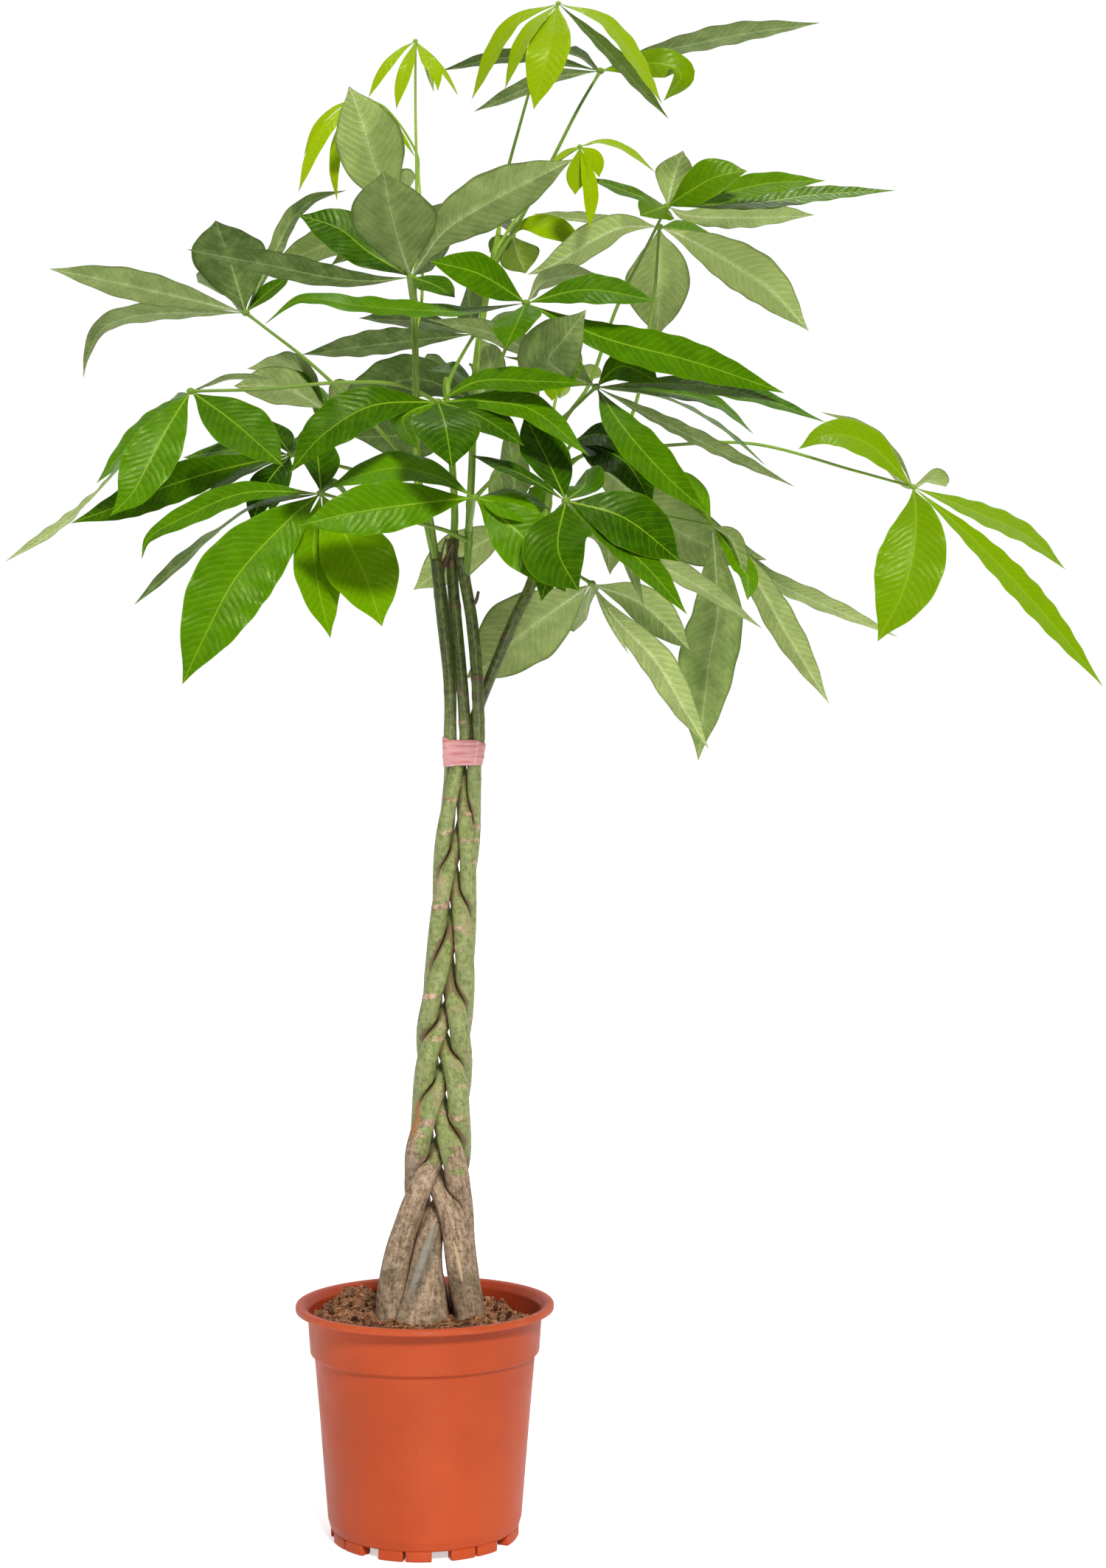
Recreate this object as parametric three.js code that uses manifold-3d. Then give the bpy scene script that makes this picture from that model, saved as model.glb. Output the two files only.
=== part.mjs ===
// A potted money tree: five stems braided in a terracotta-coloured nursery pot, held by a tie
// below the crown, with palmate leaves on long stalks. Millimetres, +Z up. The origin is the
// middle of the pot's underside, and the front of the plant looks along -Y.

import * as THREE from "three";
import Module from "manifold-3d";
import { mergeVertices } from "three/addons/utils/BufferGeometryUtils.js";

const wasm = await Module();
wasm.setup();
const { Manifold } = wasm;

// Driving dimensions
const GAP = 0.3;
const SLIVER = 0.15;
const EYE = new THREE.Vector3(119, -2290, 697.5);
const POT = {
  rimRadius: 120,
  rimTop: 216,
  lip: 6,
  mouthRadius: 111.3,
  wall: 1.6,
  bandTopRadius: 109,
  bandFootRadius: 106.2,
  bandFoot: 171,
  bodyTopRadius: 102.4,
  bodyFootRadius: 90,
  bodyFoot: 19.4,
  baseRadius: 87.8,
  floor: 9,
  floorThickness: 2,
  sides: 32,
};
const FEET = { pairs: 8, firstSlit: -9.6, slit: 1.8, pairWidth: 33, inner: 75, outer: 87.2, centre: 12 };
const DRAIN = { count: 8, radius: 4, ring: 56 };
const SOIL = { level: 203, rings: [0.4, 0.75, 1] };
const STEM_SIDES = 8;
const STEM_FOOT = 180;
const STEM_STEP = 21;
const CELL_GAP = 0.7;
const TIE = { low: 715, high: 737, thick: 1.5, sides: 20, levels: 2 };
const SHOOT_RADIUS = 3.6;
const STALK = { root: 2.2, tip: 1.5, sides: 5 };
const SHOOT_SIDES = 6;
const HUB_RADIUS = 4.6;
const BLADE = { edge: 0.8, rib: 1.6, fold: 0.1 };

// A point that is read off the photograph in the plane through the pot's axis, and lies
// `depth` behind that plane on the same line of sight.
function seen([across, up, depth]) {
  const grow = 1 + depth / -EYE.y;
  return new THREE.Vector3(EYE.x + (across - EYE.x) * grow, depth, EYE.z + (up - EYE.z) * grow);
}

// Smooth curve through rows of numbers: a cubic between knots, with slopes from the chords.
function smooth(knots, rows, at) {
  const last = knots.length - 1;
  const value = Math.min(Math.max(at, knots[0]), knots[last]);
  let i = 0;
  while (i < last - 1 && value > knots[i + 1]) i += 1;
  const slope = (j, c) => {
    const low = Math.max(j - 1, 0);
    const high = Math.min(j + 1, last);
    return (rows[high][c] - rows[low][c]) / (knots[high] - knots[low]);
  };
  const step = knots[i + 1] - knots[i];
  const t = (value - knots[i]) / step;
  return rows[i].map((first, c) => {
    const h00 = (1 + 2 * t) * (1 - t) ** 2;
    const h10 = t * (1 - t) ** 2;
    const h01 = t * t * (3 - 2 * t);
    const h11 = t * t * (t - 1);
    return h00 * first + h10 * step * slope(i, c) + h01 * rows[i + 1][c] + h11 * step * slope(i + 1, c);
  });
}

// A curve through points, asked by the share of its length from 0 to 1.
function route(points) {
  const knots = [0];
  points.slice(1).forEach((p, i) => knots.push(knots[i] + p.distanceTo(points[i])));
  const rows = points.map((p) => p.toArray());
  const length = knots[knots.length - 1];
  const at = (share) => new THREE.Vector3().fromArray(smooth(knots, rows, share * length));
  const along = (share) => {
    const low = Math.max(share - 0.01, 0);
    const high = Math.min(share + 0.01, 1);
    return at(high).sub(at(low)).normalize();
  };
  return { at, along, length };
}

// Solids
function solid(positions, faces) {
  const vertProperties = new Float32Array(positions.flatMap((p) => [p.x, p.y, p.z]));
  return new Manifold(new wasm.Mesh({ numProp: 3, vertProperties, triVerts: new Uint32Array(faces.flat()) }));
}

function solidOf(geometry) {
  const bare = geometry.clone();
  bare.deleteAttribute("normal");
  bare.deleteAttribute("uv");
  const merged = mergeVertices(bare, 1e-4);
  return new Manifold(
    new wasm.Mesh({
      numProp: 3,
      vertProperties: new Float32Array(merged.attributes.position.array),
      triVerts: new Uint32Array(merged.index.array),
    }),
  );
}

function geometryOf(body) {
  const mesh = body.getMesh();
  const geometry = new THREE.BufferGeometry();
  geometry.setAttribute("position", new THREE.BufferAttribute(mesh.vertProperties, 3));
  geometry.setIndex(new THREE.BufferAttribute(mesh.triVerts, 1));
  return geometry;
}

// A closed skin over rings of equal count, each ring turning right-handed round the way it travels.
function skin(rings) {
  const count = rings[0].length;
  const faces = [];
  for (let i = 0; i < rings.length - 1; i += 1) {
    for (let a = 0; a < count; a += 1) {
      const b = (a + 1) % count;
      const low = i * count;
      const high = low + count;
      faces.push([low + a, low + b, high + b], [low + a, high + b, high + a]);
    }
  }
  const top = (rings.length - 1) * count;
  for (let a = 1; a < count - 1; a += 1) {
    faces.push([0, a + 1, a], [top, top + a, top + a + 1]);
  }
  return solid(rings.flat(), faces);
}

// A round rod along a route, with its radius a function of the share of the length.
function rod(path, steps, sides, radius) {
  let across = new THREE.Vector3(0, 1, 0);
  const rings = [];
  for (let i = 0; i <= steps; i += 1) {
    const share = i / steps;
    const way = path.along(share);
    across = across.clone().addScaledVector(way, -across.dot(way)).normalize();
    const other = new THREE.Vector3().crossVectors(way, across);
    const centre = path.at(share);
    rings.push(
      Array.from({ length: sides }, (_, k) => {
        const turn = (2 * Math.PI * k) / sides;
        return centre
          .clone()
          .addScaledVector(across, radius(share) * Math.cos(turn))
          .addScaledVector(other, radius(share) * Math.sin(turn));
      }),
    );
  }
  return skin(rings);
}

// Braid: for each height, the bundle's middle, its half width, a strand's radius and how many
// fifths of a full pass the braid has made, counted downwards from just under the tie.
const BRAID = [
  [170, 3, 49, 18, 5.5],
  [206, 3.6, 49, 18, 5.5],
  [258, 4.2, 41, 13.6, 5.5],
  [295, 9.4, 35.2, 12.2, 5.4],
  [328, 11.5, 31.6, 11.6, 4.97],
  [360, 12.5, 30.6, 11.2, 4.42],
  [394, 14.9, 27.9, 10.4, 3.95],
  [431, 17, 27, 9.9, 3.42],
  [470, 18.2, 26, 9.5, 2.68],
  [521, 23, 24, 9, 1.92],
  [571, 25.8, 22, 8.3, 1.42],
  [608, 27.6, 21, 7.8, 0.93],
  [645, 30.1, 21, 7.4, 0.45],
  [698, 34.7, 18, 6.8, -0.02],
  [727, 36.2, 17.8, 6.2, -0.3],
  [770, 37.5, 17.9, 5.6, -0.4],
];
const BRAID_DEPTH = 1.4;
const BRAID_SQUARENESS = 1.1;
const FOOT_SETTLED = 206;
const FOOT_END = 322;
const FOOT_EASE = [1.25, 1.25, 3];

// Each strand rises from its foot in the soil, a middle and a radius, into the braid. Above the
// tie it goes its own way to a cut end. Out of the end, or out of a bud just below it, grows the
// green shoot that carries the leaf stalks.
const STEMS = [
  {
    name: "stem_1",
    turn: 1,
    foot: [7, 27, 19],
    top: [[23.6, -4, 742], [23, -4, 790], [16.5, -6, 850], [13, -6, 885], [11, -5, 905]],
    shoot: [[12, -5, 893], [7.5, -6, 925], [3, -8, 950], [-6, -10, 974], [-8, -14, 1085], [-10, -18, 1163]],
  },
  {
    name: "stem_2",
    turn: 2,
    foot: [-26, 0, 20],
    top: [[38.3, -6, 742], [34.5, -5, 790], [29, -3, 850], [25.5, 0, 890], [25, 3, 925]],
    shoot: [[25, 3, 915], [27, 14, 946], [24, 26, 1000], [19, 32, 1050], [18, 36, 1082]],
  },
  {
    name: "stem_3",
    turn: 4,
    foot: [36, 22, 14],
    top: [[50, -7, 742], [49, -8, 790], [43.5, -7, 850], [37.5, -6, 885], [34, -6, 907]],
    shoot: [[36.5, -6, 880], [40, -9, 908], [41.5, -8, 945], [43.5, -5, 987], [47, 0, 1083], [57, 8, 1155], [68, 14, 1212]],
  },
  {
    name: "stem_4",
    turn: 3,
    foot: [-3, -14, 27],
    top: [[41, 9, 742], [49, 9, 768], [57.5, 8, 790], [82.5, 6, 850], [97, 4, 880], [102, 3, 893]],
    shoot: [[99, 4, 886], [108, 8, 920], [114, 12, 955], [117, 16, 992], [119, 19, 1030]],
  },
  {
    name: "stem_5",
    turn: 0,
    foot: [41.5, -6, 14],
    top: [[22.5, 13, 742], [23, 13, 790], [18, 16, 850], [12, 20, 890], [8, 22, 915]],
    shoot: [[9, 22, 905], [2, 30, 935], [-6, 34, 975], [-12, 38, 1010]],
  },
];
const TOP_START = 712;
const TOP_SETTLED = 744;

function braidAt(height) {
  const [middle, half, radius, turns] = smooth(BRAID.map((row) => row[0]), BRAID.map((row) => row.slice(1)), height);
  return { middle, half, radius, turns };
}

// A strand passes to and fro along a figure of eight: outwards over the front, back behind.
function strandCourse(stem, height) {
  const { middle, half, radius, turns } = braidAt(height);
  const phase = Math.PI / 2 - ((turns - stem.turn) * 2 * Math.PI) / STEMS.length;
  const swing = Math.tanh(BRAID_SQUARENESS * Math.cos(phase)) / Math.tanh(BRAID_SQUARENESS);
  const braided = [middle + (half - radius) * swing, -BRAID_DEPTH * radius * Math.sin(2 * phase), radius];
  const share = Math.min(Math.max((FOOT_END - height) / (FOOT_END - FOOT_SETTLED), 0), 1);
  const course = braided.map((value, c) => value + (stem.foot[c] - value) * share ** FOOT_EASE[c]);
  if (height > TOP_START) {
    const free = smooth(stem.top.map((p) => p[2]), stem.top, height);
    const t = Math.min((height - TOP_START) / (TOP_SETTLED - TOP_START), 1);
    const ease = t * t * (3 - 2 * t);
    for (const c of [0, 1]) course[c] = course[c] * (1 - ease) + free[c] * ease;
  }
  return { x: course[0], y: course[1], radius: course[2] };
}

// A strand's outline at one height: a circle, flattened where it presses on its neighbours. The
// outline keeps clear of them half a step above and below as well, so the skin between does too.
function strandRing(stem, height, grow, gap) {
  const here = strandCourse(stem, height);
  const walls = [];
  for (const other of gap > 0 ? STEMS.filter((s) => s !== stem) : []) {
    for (const level of [height - STEM_STEP / 2, height, height + STEM_STEP / 2]) {
      if (level > other.top[other.top.length - 1][2] + STEM_STEP) continue;
      const [own, far] = [strandCourse(stem, level), strandCourse(other, level)];
      const near = Math.hypot(far.x - own.x, far.y - own.y);
      const normal = [(far.x - own.x) / near, (far.y - own.y) / near];
      const share = own.radius / (own.radius + far.radius);
      const room = (own.x - here.x) * normal[0] + (own.y - here.y) * normal[1] + near * share - gap / 2;
      walls.push({ normal, room });
    }
  }
  return Array.from({ length: STEM_SIDES }, (_, k) => {
    const turn = (2 * Math.PI * k) / STEM_SIDES;
    let reach = here.radius + grow;
    for (const { normal, room } of walls) {
      const facing = Math.cos(turn) * normal[0] + Math.sin(turn) * normal[1];
      if (facing > 0.05) reach = Math.max(Math.min(reach, room / facing), here.radius / 5);
    }
    return new THREE.Vector3(here.x + reach * Math.cos(turn), here.y + reach * Math.sin(turn), height);
  });
}

function heights(low, high, step) {
  const count = Math.ceil((high - low) / step);
  return Array.from({ length: count + 1 }, (_, i) => low + ((high - low) * i) / count);
}

function strand(stem, low, grow, gap) {
  const top = stem.top[stem.top.length - 1][2];
  const levels = [...heights(low, TOP_START, STEM_STEP), TIE.low + 11, ...heights(TOP_SETTLED, top, 2 * STEM_STEP)];
  return skin(levels.map((height) => strandRing(stem, height, grow, gap)));
}

function shootRoute(stem) {
  return route(stem.shoot.map((p) => new THREE.Vector3().fromArray(p)));
}

function shoot(stem, grow) {
  const path = shootRoute(stem);
  const steps = Math.ceil(path.length / 45);
  return rod(path, steps, SHOOT_SIDES, (share) => SHOOT_RADIUS + grow - 0.6 * share);
}

function stemSolid(stem) {
  return strand(stem, STEM_FOOT, 0, CELL_GAP).add(shoot(stem, 0));
}

// The point on a stem's shoot at a height.
function shootPoint(stem, height) {
  const [x, y] = smooth(stem.shoot.map((p) => p[2]), stem.shoot, height);
  return new THREE.Vector3(x, y, height);
}

// Tie: a band of tape drawn round the bundle, its outline rounded over the outermost strand of
// a few millimetres above and below.
function tieSolid() {
  const ringAt = (height, grow) =>
    Array.from({ length: TIE.sides }, (_, k) => {
      const turn = (2 * Math.PI * k) / TIE.sides;
      const [x, y] = [Math.cos(turn), Math.sin(turn)];
      const reach = (c) => c.x * x + c.y * y + c.radius;
      const courses = [-5, 0, 5].flatMap((step) => STEMS.map((stem) => strandCourse(stem, height + step)));
      const outer = courses.reduce((best, c) => (reach(c) > reach(best) ? c : best));
      const radius = outer.radius + GAP + grow;
      return new THREE.Vector3(outer.x + radius * x, outer.y + radius * y, height);
    });
  const margin = 2;
  const outside = skin(heights(TIE.low, TIE.high, (TIE.high - TIE.low) / TIE.levels).map((z) => ringAt(z, TIE.thick)));
  const inside = skin(heights(TIE.low - margin, TIE.high + margin, 10).map((z) => ringAt(z, 0.2)));
  return outside.subtract(inside);
}

// Pot: one turned wall with a lip and a band, a floor with drain holes, and feet in pairs.
function potInside(clearance) {
  const wall = POT.wall + clearance;
  return [
    [0, POT.floor + POT.floorThickness + clearance],
    [POT.baseRadius - wall - 1.5, POT.floor + POT.floorThickness + clearance],
    [POT.bodyFootRadius - wall, POT.bodyFoot + 1.6],
    [POT.bodyTopRadius - wall, POT.bandFoot - 3.4],
    [POT.bandFootRadius - wall, POT.bandFoot + 1.2],
  ];
}

function potSolid() {
  const inside = [...potInside(0), [POT.bandTopRadius - POT.wall, POT.rimTop - 5]];
  const outside = [
    [0, POT.floor],
    [POT.baseRadius - 2, POT.floor],
    [POT.baseRadius, POT.floor + 1.8],
    [POT.bodyFootRadius, POT.bodyFoot],
    [POT.bodyTopRadius, POT.bandFoot - 2.4],
    [POT.bandFootRadius, POT.bandFoot],
    [POT.bandTopRadius, POT.rimTop - POT.lip],
    [POT.rimRadius - 0.6, POT.rimTop - POT.lip],
    [POT.rimRadius, POT.rimTop - POT.lip + 0.8],
    [POT.rimRadius, POT.rimTop - 1],
    [POT.rimRadius - 1, POT.rimTop],
    [POT.mouthRadius, POT.rimTop],
  ];
  const profile = [...outside, ...inside.reverse()].map(([r, z]) => new THREE.Vector2(r, z));
  let pot = solidOf(new THREE.LatheGeometry([...profile, profile[0]], POT.sides).rotateX(Math.PI / 2));
  for (const foot of feet()) pot = pot.add(foot);
  for (let i = 0; i < DRAIN.count; i += 1) {
    const turn = (2 * Math.PI * i) / DRAIN.count;
    const hole = new THREE.CylinderGeometry(DRAIN.radius, DRAIN.radius, 3 * POT.floorThickness, 8);
    hole.rotateX(Math.PI / 2);
    hole.translate(DRAIN.ring * Math.cos(turn), DRAIN.ring * Math.sin(turn), POT.floor + POT.floorThickness / 2);
    pot = pot.subtract(solidOf(hole));
  }
  return pot;
}

function feet() {
  const half = THREE.MathUtils.degToRad((FEET.pairWidth - FEET.slit) / 2);
  const slit = THREE.MathUtils.degToRad(FEET.slit / 2);
  const sunk = 0.8;
  const made = [];
  for (let i = 0; i < FEET.pairs; i += 1) {
    const middle = THREE.MathUtils.degToRad(FEET.firstSlit + (360 * i) / FEET.pairs - 90);
    for (const [from, to] of [[middle - slit - half, middle - slit], [middle + slit, middle + slit + half]]) {
      const sector = new THREE.Shape();
      sector.absarc(0, 0, FEET.outer, from, to, false);
      sector.absarc(0, 0, FEET.inner, to, from, true);
      made.push(solidOf(new THREE.ExtrudeGeometry(sector, { depth: POT.floor + sunk, bevelEnabled: false, curveSegments: 2 })));
    }
  }
  const centre = new THREE.CylinderGeometry(FEET.centre, FEET.centre, POT.floor + sunk, 16);
  centre.rotateX(Math.PI / 2).translate(0, 0, (POT.floor + sunk) / 2);
  return [...made, solidOf(centre)];
}

// Soil: fills the pot, with a mound against the wall at the back left and low clumps in front.
const CLUMPS = [
  { x: -72, y: 58, wide: 26, high: 13 },
  { x: 34, y: -72, wide: 16, high: 5 },
  { x: -50, y: 92, wide: 14, high: -6 },
  { x: 60, y: 10, wide: 22, high: 4 },
  { x: 108, y: 45, wide: 42, high: -14 },
  { x: -60, y: -60, wide: 22, high: -4 },
];

function soilHeight(x, y) {
  const lift = CLUMPS.map((c) => c.high * Math.exp(-((x - c.x) ** 2 + (y - c.y) ** 2) / c.wide ** 2));
  return SOIL.level + lift.reduce((a, b) => a + b, 0);
}

function soilSolid() {
  const slope = (POT.bandTopRadius - POT.bandFootRadius) / (POT.rimTop - POT.lip - POT.bandFoot);
  const wallRadius = (z) => POT.bandFootRadius - POT.wall - GAP + slope * (z - POT.bandFoot);
  const wallFoot = potInside(GAP).slice(1);
  const columns = Array.from({ length: POT.sides }, (_, k) => (2 * Math.PI * k) / POT.sides);
  const ring = (radius, height) => columns.map((turn) => {
    const [x, y] = [radius * Math.cos(turn), radius * Math.sin(turn)];
    return new THREE.Vector3(x, y, height ?? soilHeight(x, y));
  });
  const edge = wallRadius(SOIL.level - 16);
  const rings = wallFoot.map(([radius, z]) => ring(radius, z));
  for (const share of [...SOIL.rings].reverse()) rings.push(ring(share * edge));
  let soil = skin(rings);
  for (const stem of STEMS) soil = soil.subtract(strand(stem, STEM_FOOT - GAP, GAP, 0));
  return soil.asOriginal().simplify(SLIVER);
}

// Leaves. Each has the stem it grows on and the height of its joint there, the stalk's route, the
// hub, and its leaflets: the widest width, how much of it is seen, and the midrib's points after
// the hub. Seen is 1 where the upper face looks at the eye, 0 edge-on with the upper face up, and
// -1 where the underside looks at the eye. Two values turn the leaflet from base to tip.
const blade = (wide, face, ...points) => ({ wide, face: [face].flat(), points });

const LEAVES = [
  {
    name: "leaf_01", stem: 1, joint: 985, hub: [-167, 1136, 40],
    stalk: [[-25, 1008, 10], [-70, 1055, 25], [-110, 1092, 35], [-150, 1123, 40]],
    blades: [
      blade(40, -0.75, [-216, 1148, 33], [-264, 1159, 26], [-319, 1171, 16], [-350, 1177, 10]),
      blade(40, -0.45, [-257, 1135, 65], [-299, 1123, 78], [-314, 1097, 86], [-318, 1075, 90]),
      blade(72, -0.95, [-181, 1183, 20], [-195, 1222, -20]),
      blade(26, -0.6, [-138, 1196, 72], [-123, 1225, 90], [-103, 1242, 100], [-73, 1250, 108]),
      blade(30, 0.5, [-145, 1156, 48], [-126, 1170, 58]),
      blade(48, -0.3, [-188, 1155, 100], [-212, 1165, 165]),
    ],
  },
  {
    name: "leaf_02", stem: 1, joint: 1144, hub: [-13, 1169, -45],
    stalk: [[-12, 1162, -30]],
    blades: [
      blade(36, -0.65, [-52, 1166, -60], [-93, 1170, -72], [-141, 1180, -82], [-222, 1195, -75]),
      blade(80, -0.95, [-22, 1195, -60], [-32, 1232, -88], [-39, 1268, -115]),
      blade(54, -0.9, [16, 1210, -62], [58, 1238, -74], [100, 1260, -86], [138, 1279, -95]),
      blade(50, 0.85, [-52, 1192, -30], [-80, 1214, -15], [-118, 1227, 0]),
      blade(28, 0.7, [8, 1162, -75], [28, 1150, -100]),
      blade(45, -0.5, [15, 1200, 0], [36, 1226, 35]),
    ],
  },
  {
    name: "leaf_03", stem: 1, joint: 1130, hub: [-24, 1228, 60],
    stalk: [[-14, 1158, 20], [-20, 1200, 50]],
    blades: [
      blade(68, -0.95, [-45, 1270, 50], [-58, 1312, 35], [-71, 1347, 20]),
      blade(44, -0.7, [-60, 1212, 75], [-95, 1199, 90], [-145, 1178, 98]),
      blade(46, -0.5, [8, 1226, 92], [40, 1220, 125]),
      blade(50, -0.4, [-20, 1245, 120], [-15, 1250, 185]),
      blade(36, -0.6, [-50, 1203, 110], [-88, 1180, 138]),
    ],
  },
  {
    name: "leaf_04", stem: 3, joint: 1022, hub: [94, 1145, -90],
    stalk: [[54, 1046, -30], [75, 1103, -65]],
    blades: [
      blade(40, 0.85, [50, 1172, -125], [4, 1184, -135]),
      blade(42, 0.35, [30, 1137, -115], [-60, 1142, -125], [-115, 1148, -115], [-150, 1125, -110]),
      blade(40, 0.65, [150, 1157, -110], [215, 1147, -120]),
      blade(46, 0.75, [85, 1125, -130], [75, 1103, -150]),
      blade(44, 0.8, [165, 1113, -110], [250, 1090, -105], [335, 1061, -100]),
      blade(35, -0.5, [112, 1166, -70], [158, 1173, -45]),
    ],
  },
  {
    name: "leaf_05", stem: 3, joint: 958, hub: [159, 1067, -60],
    stalk: [[60, 978, -15], [95, 1012, -30], [130, 1040, -45]],
    blades: [
      blade(36, 0.45, [225, 1070, -80], [300, 1060, -92], [373, 1034, -95]),
      blade(36, 0.8, [182, 1086, -70], [218, 1071, -85]),
      blade(34, 0.35, [220, 1062, -50], [270, 1052, -40], [306, 1023, -30]),
      blade(30, [-0.2, 0.3], [225, 1056, -20], [275, 1029, 0], [317, 994, 15]),
      blade(34, -0.4, [200, 1045, -85], [260, 1015, -100], [344, 974, -110]),
      blade(46, 0.75, [186, 1027, -110], [223, 985, -130], [264, 948, -135]),
      blade(34, -0.6, [105, 1097, -50], [60, 1118, -45], [2, 1130, -40]),
      blade(30, 0.15, [115, 1084, -62], [72, 1096, -66]),
      blade(60, -0.9, [116, 1090, -115], [130, 1112, -150], [150, 1139, -170]),
    ],
  },
  {
    name: "leaf_06", stem: 2, joint: 1072, hub: [46, 1116, 60],
    stalk: [[28, 1085, 45], [38, 1103, 55]],
    blades: [
      blade(44, -0.55, [0, 1112, 60], [-60, 1105, 50], [-115, 1097, 40]),
      blade(40, -0.45, [-5, 1128, 85], [-62, 1131, 100]),
      blade(50, -0.6, [42, 1140, 85], [40, 1165, 110]),
      blade(40, -0.5, [70, 1125, 95], [95, 1125, 135]),
    ],
  },
  {
    name: "leaf_07", stem: 2, joint: 1030, hub: [50, 1052, 120],
    stalk: [[35, 1035, 75]],
    blades: [
      blade(60, -0.75, [-10, 1075, 120], [-88, 1046, 110]),
      blade(55, -0.7, [60, 1085, 130], [54, 1111, 120]),
      blade(50, -0.6, [85, 1060, 140], [97, 1052, 165]),
      blade(50, -0.5, [20, 1075, 165], [0, 1085, 225]),
      blade(34, 0.35, [30, 1080, 85], [1, 1082, 72]),
      blade(60, -0.9, [-10, 1025, 125], [-66, 1020, 135]),
    ],
  },
  {
    name: "leaf_08", stem: 2, joint: 1012, hub: [12, 1053, -130],
    stalk: [[20, 1030, -30], [16, 1046, -80]],
    blades: [
      blade(52, 0.75, [-50, 1049, -150], [-95, 1022, -160], [-126, 987, -165]),
      blade(36, 0.6, [50, 1072, -135], [100, 1072, -140], [150, 1070, -145]),
      blade(60, 0.97, [19, 1030, -175], [25, 992, -200]),
      blade(34, 0.6, [-20, 1038, -150], [-6, 1008, -150]),
      blade(40, 0.6, [60, 1053, -140], [100, 1045, -145], [152, 1003, -140]),
      blade(44, 0.6, [50, 1040, -155], [92, 1012, -170]),
    ],
  },
  {
    name: "leaf_09", stem: 1, joint: 1160, hub: [-9, 1389, -15],
    stalk: [[-9, 1180, -12], [-8, 1260, -8], [-9, 1330, -10]],
    blades: [
      blade(11, 0.8, [-22, 1380, -22], [-38, 1362, -27], [-53, 1336, -30]),
      blade(14, 0.9, [-17, 1365, -33], [-23, 1345, -38], [-27, 1325, -40]),
      blade(12, -0.7, [2, 1368, 15], [8, 1341, 22]),
      blade(15, 0.85, [2, 1372, -28], [10, 1358, -38], [12, 1342, -42]),
      blade(8, 0.6, [8, 1372, -12], [20, 1356, -14], [31, 1338, -15]),
    ],
  },
  {
    name: "leaf_10", stem: 3, joint: 1209, hub: [124, 1424, -20],
    stalk: [[74, 1256, 5], [88, 1310, 0], [104, 1365, -10]],
    blades: [
      blade(24, 0.6, [80, 1404, -30], [43, 1334, -35]),
      blade(22, 0.6, [95, 1395, -45], [74, 1344, -55]),
      blade(40, 0.95, [115, 1380, -60], [101, 1325, -70]),
      blade(30, 0.5, [170, 1405, -25], [221, 1330, -30]),
      blade(28, -0.5, [170, 1380, 10], [227, 1316, 20]),
      blade(30, -0.6, [118, 1390, -5], [112, 1348, 5]),
    ],
  },
  {
    name: "leaf_11", stem: 3, joint: 1183, hub: [163, 1361, 50],
    stalk: [[88, 1222, 22], [116, 1274, 32], [142, 1325, 42]],
    blades: [
      blade(28, -0.5, [100, 1374, 45], [60, 1372, 45], [14, 1361, 40]),
      blade(26, -0.6, [125, 1357, 70], [100, 1348, 80], [45, 1323, 90]),
      blade(40, -0.5, [205, 1376, 55], [247, 1386, 55], [296, 1396, 50], [368, 1406, 40]),
      blade(34, 0.8, [215, 1368, 25], [238, 1358, 15], [222, 1333, 5]),
      blade(24, -0.4, [145, 1375, 90], [125, 1380, 115]),
    ],
  },
  {
    name: "leaf_12", stem: 1, joint: 1112, hub: [-60, 1337, 80],
    stalk: [[-3, 1150, 0], [-4, 1230, 10], [-6, 1262, 40], [-9, 1287, 75], [-36, 1326, 84]],
    blades: [
      blade(9, 0.7, [-85, 1325, 78], [-102, 1307, 78], [-113, 1282, 78]),
      blade(15, 0.85, [-82, 1318, 65], [-102, 1290, 60], [-118, 1248, 55]),
      blade(14, 0.8, [-78, 1305, 76], [-84, 1272, 73], [-82, 1240, 70]),
      blade(9, 0.7, [-40, 1324, 85], [-24, 1303, 90], [-9, 1281, 97]),
    ],
  },
  {
    name: "leaf_13", stem: 3, joint: 1196, hub: [144, 1291, -15],
    stalk: [[92, 1235, 5], [116, 1270, -8]],
    blades: [
      blade(25, 0.85, [143, 1269, -20], [139.5, 1245.6, -25]),
      blade(18, 0.8, [153, 1255, -28], [153, 1214.5, -35]),
      blade(20, 0.75, [157, 1279, -10], [162, 1262, -8]),
      blade(12, 0.45, [130, 1284, -10], [116, 1273.5, -12]),
      blade(16, 0.4, [165, 1295, -5], [187, 1288, 0], [214, 1267, 5]),
    ],
  },
  {
    name: "leaf_14", stem: 4, joint: 1004, hub: [225, 1235, -10],
    stalk: [[130, 1036, 5], [152, 1068, 0], [178, 1140, -5], [205, 1195, -8]],
    blades: [
      blade(24, 0.45, [186, 1249, 0], [152, 1262, 5]),
      blade(40, -0.85, [231, 1261, -8], [240, 1287, -22]),
      blade(46, 0.75, [245, 1248, -28], [270, 1262, -38], [300, 1268, -44]),
      blade(34, 0.6, [275, 1246, -18], [317, 1256, -14], [373, 1259, -10]),
      blade(32, 0.5, [270, 1236, 8], [317, 1239, 18], [366, 1246, 28], [438, 1250, 34]),
      blade(44, -0.55, [245, 1227, 18], [296, 1225, 48], [363, 1227, 78]),
      blade(36, 0.8, [215, 1232, -50], [200, 1226, -80]),
    ],
  },
  {
    name: "leaf_15", stem: 4, joint: 988, hub: [218, 1216, 40],
    stalk: [[140, 1000, 25], [180, 1020, 35], [197, 1055, 42], [208, 1120, 45], [214, 1160, 45]],
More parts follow.
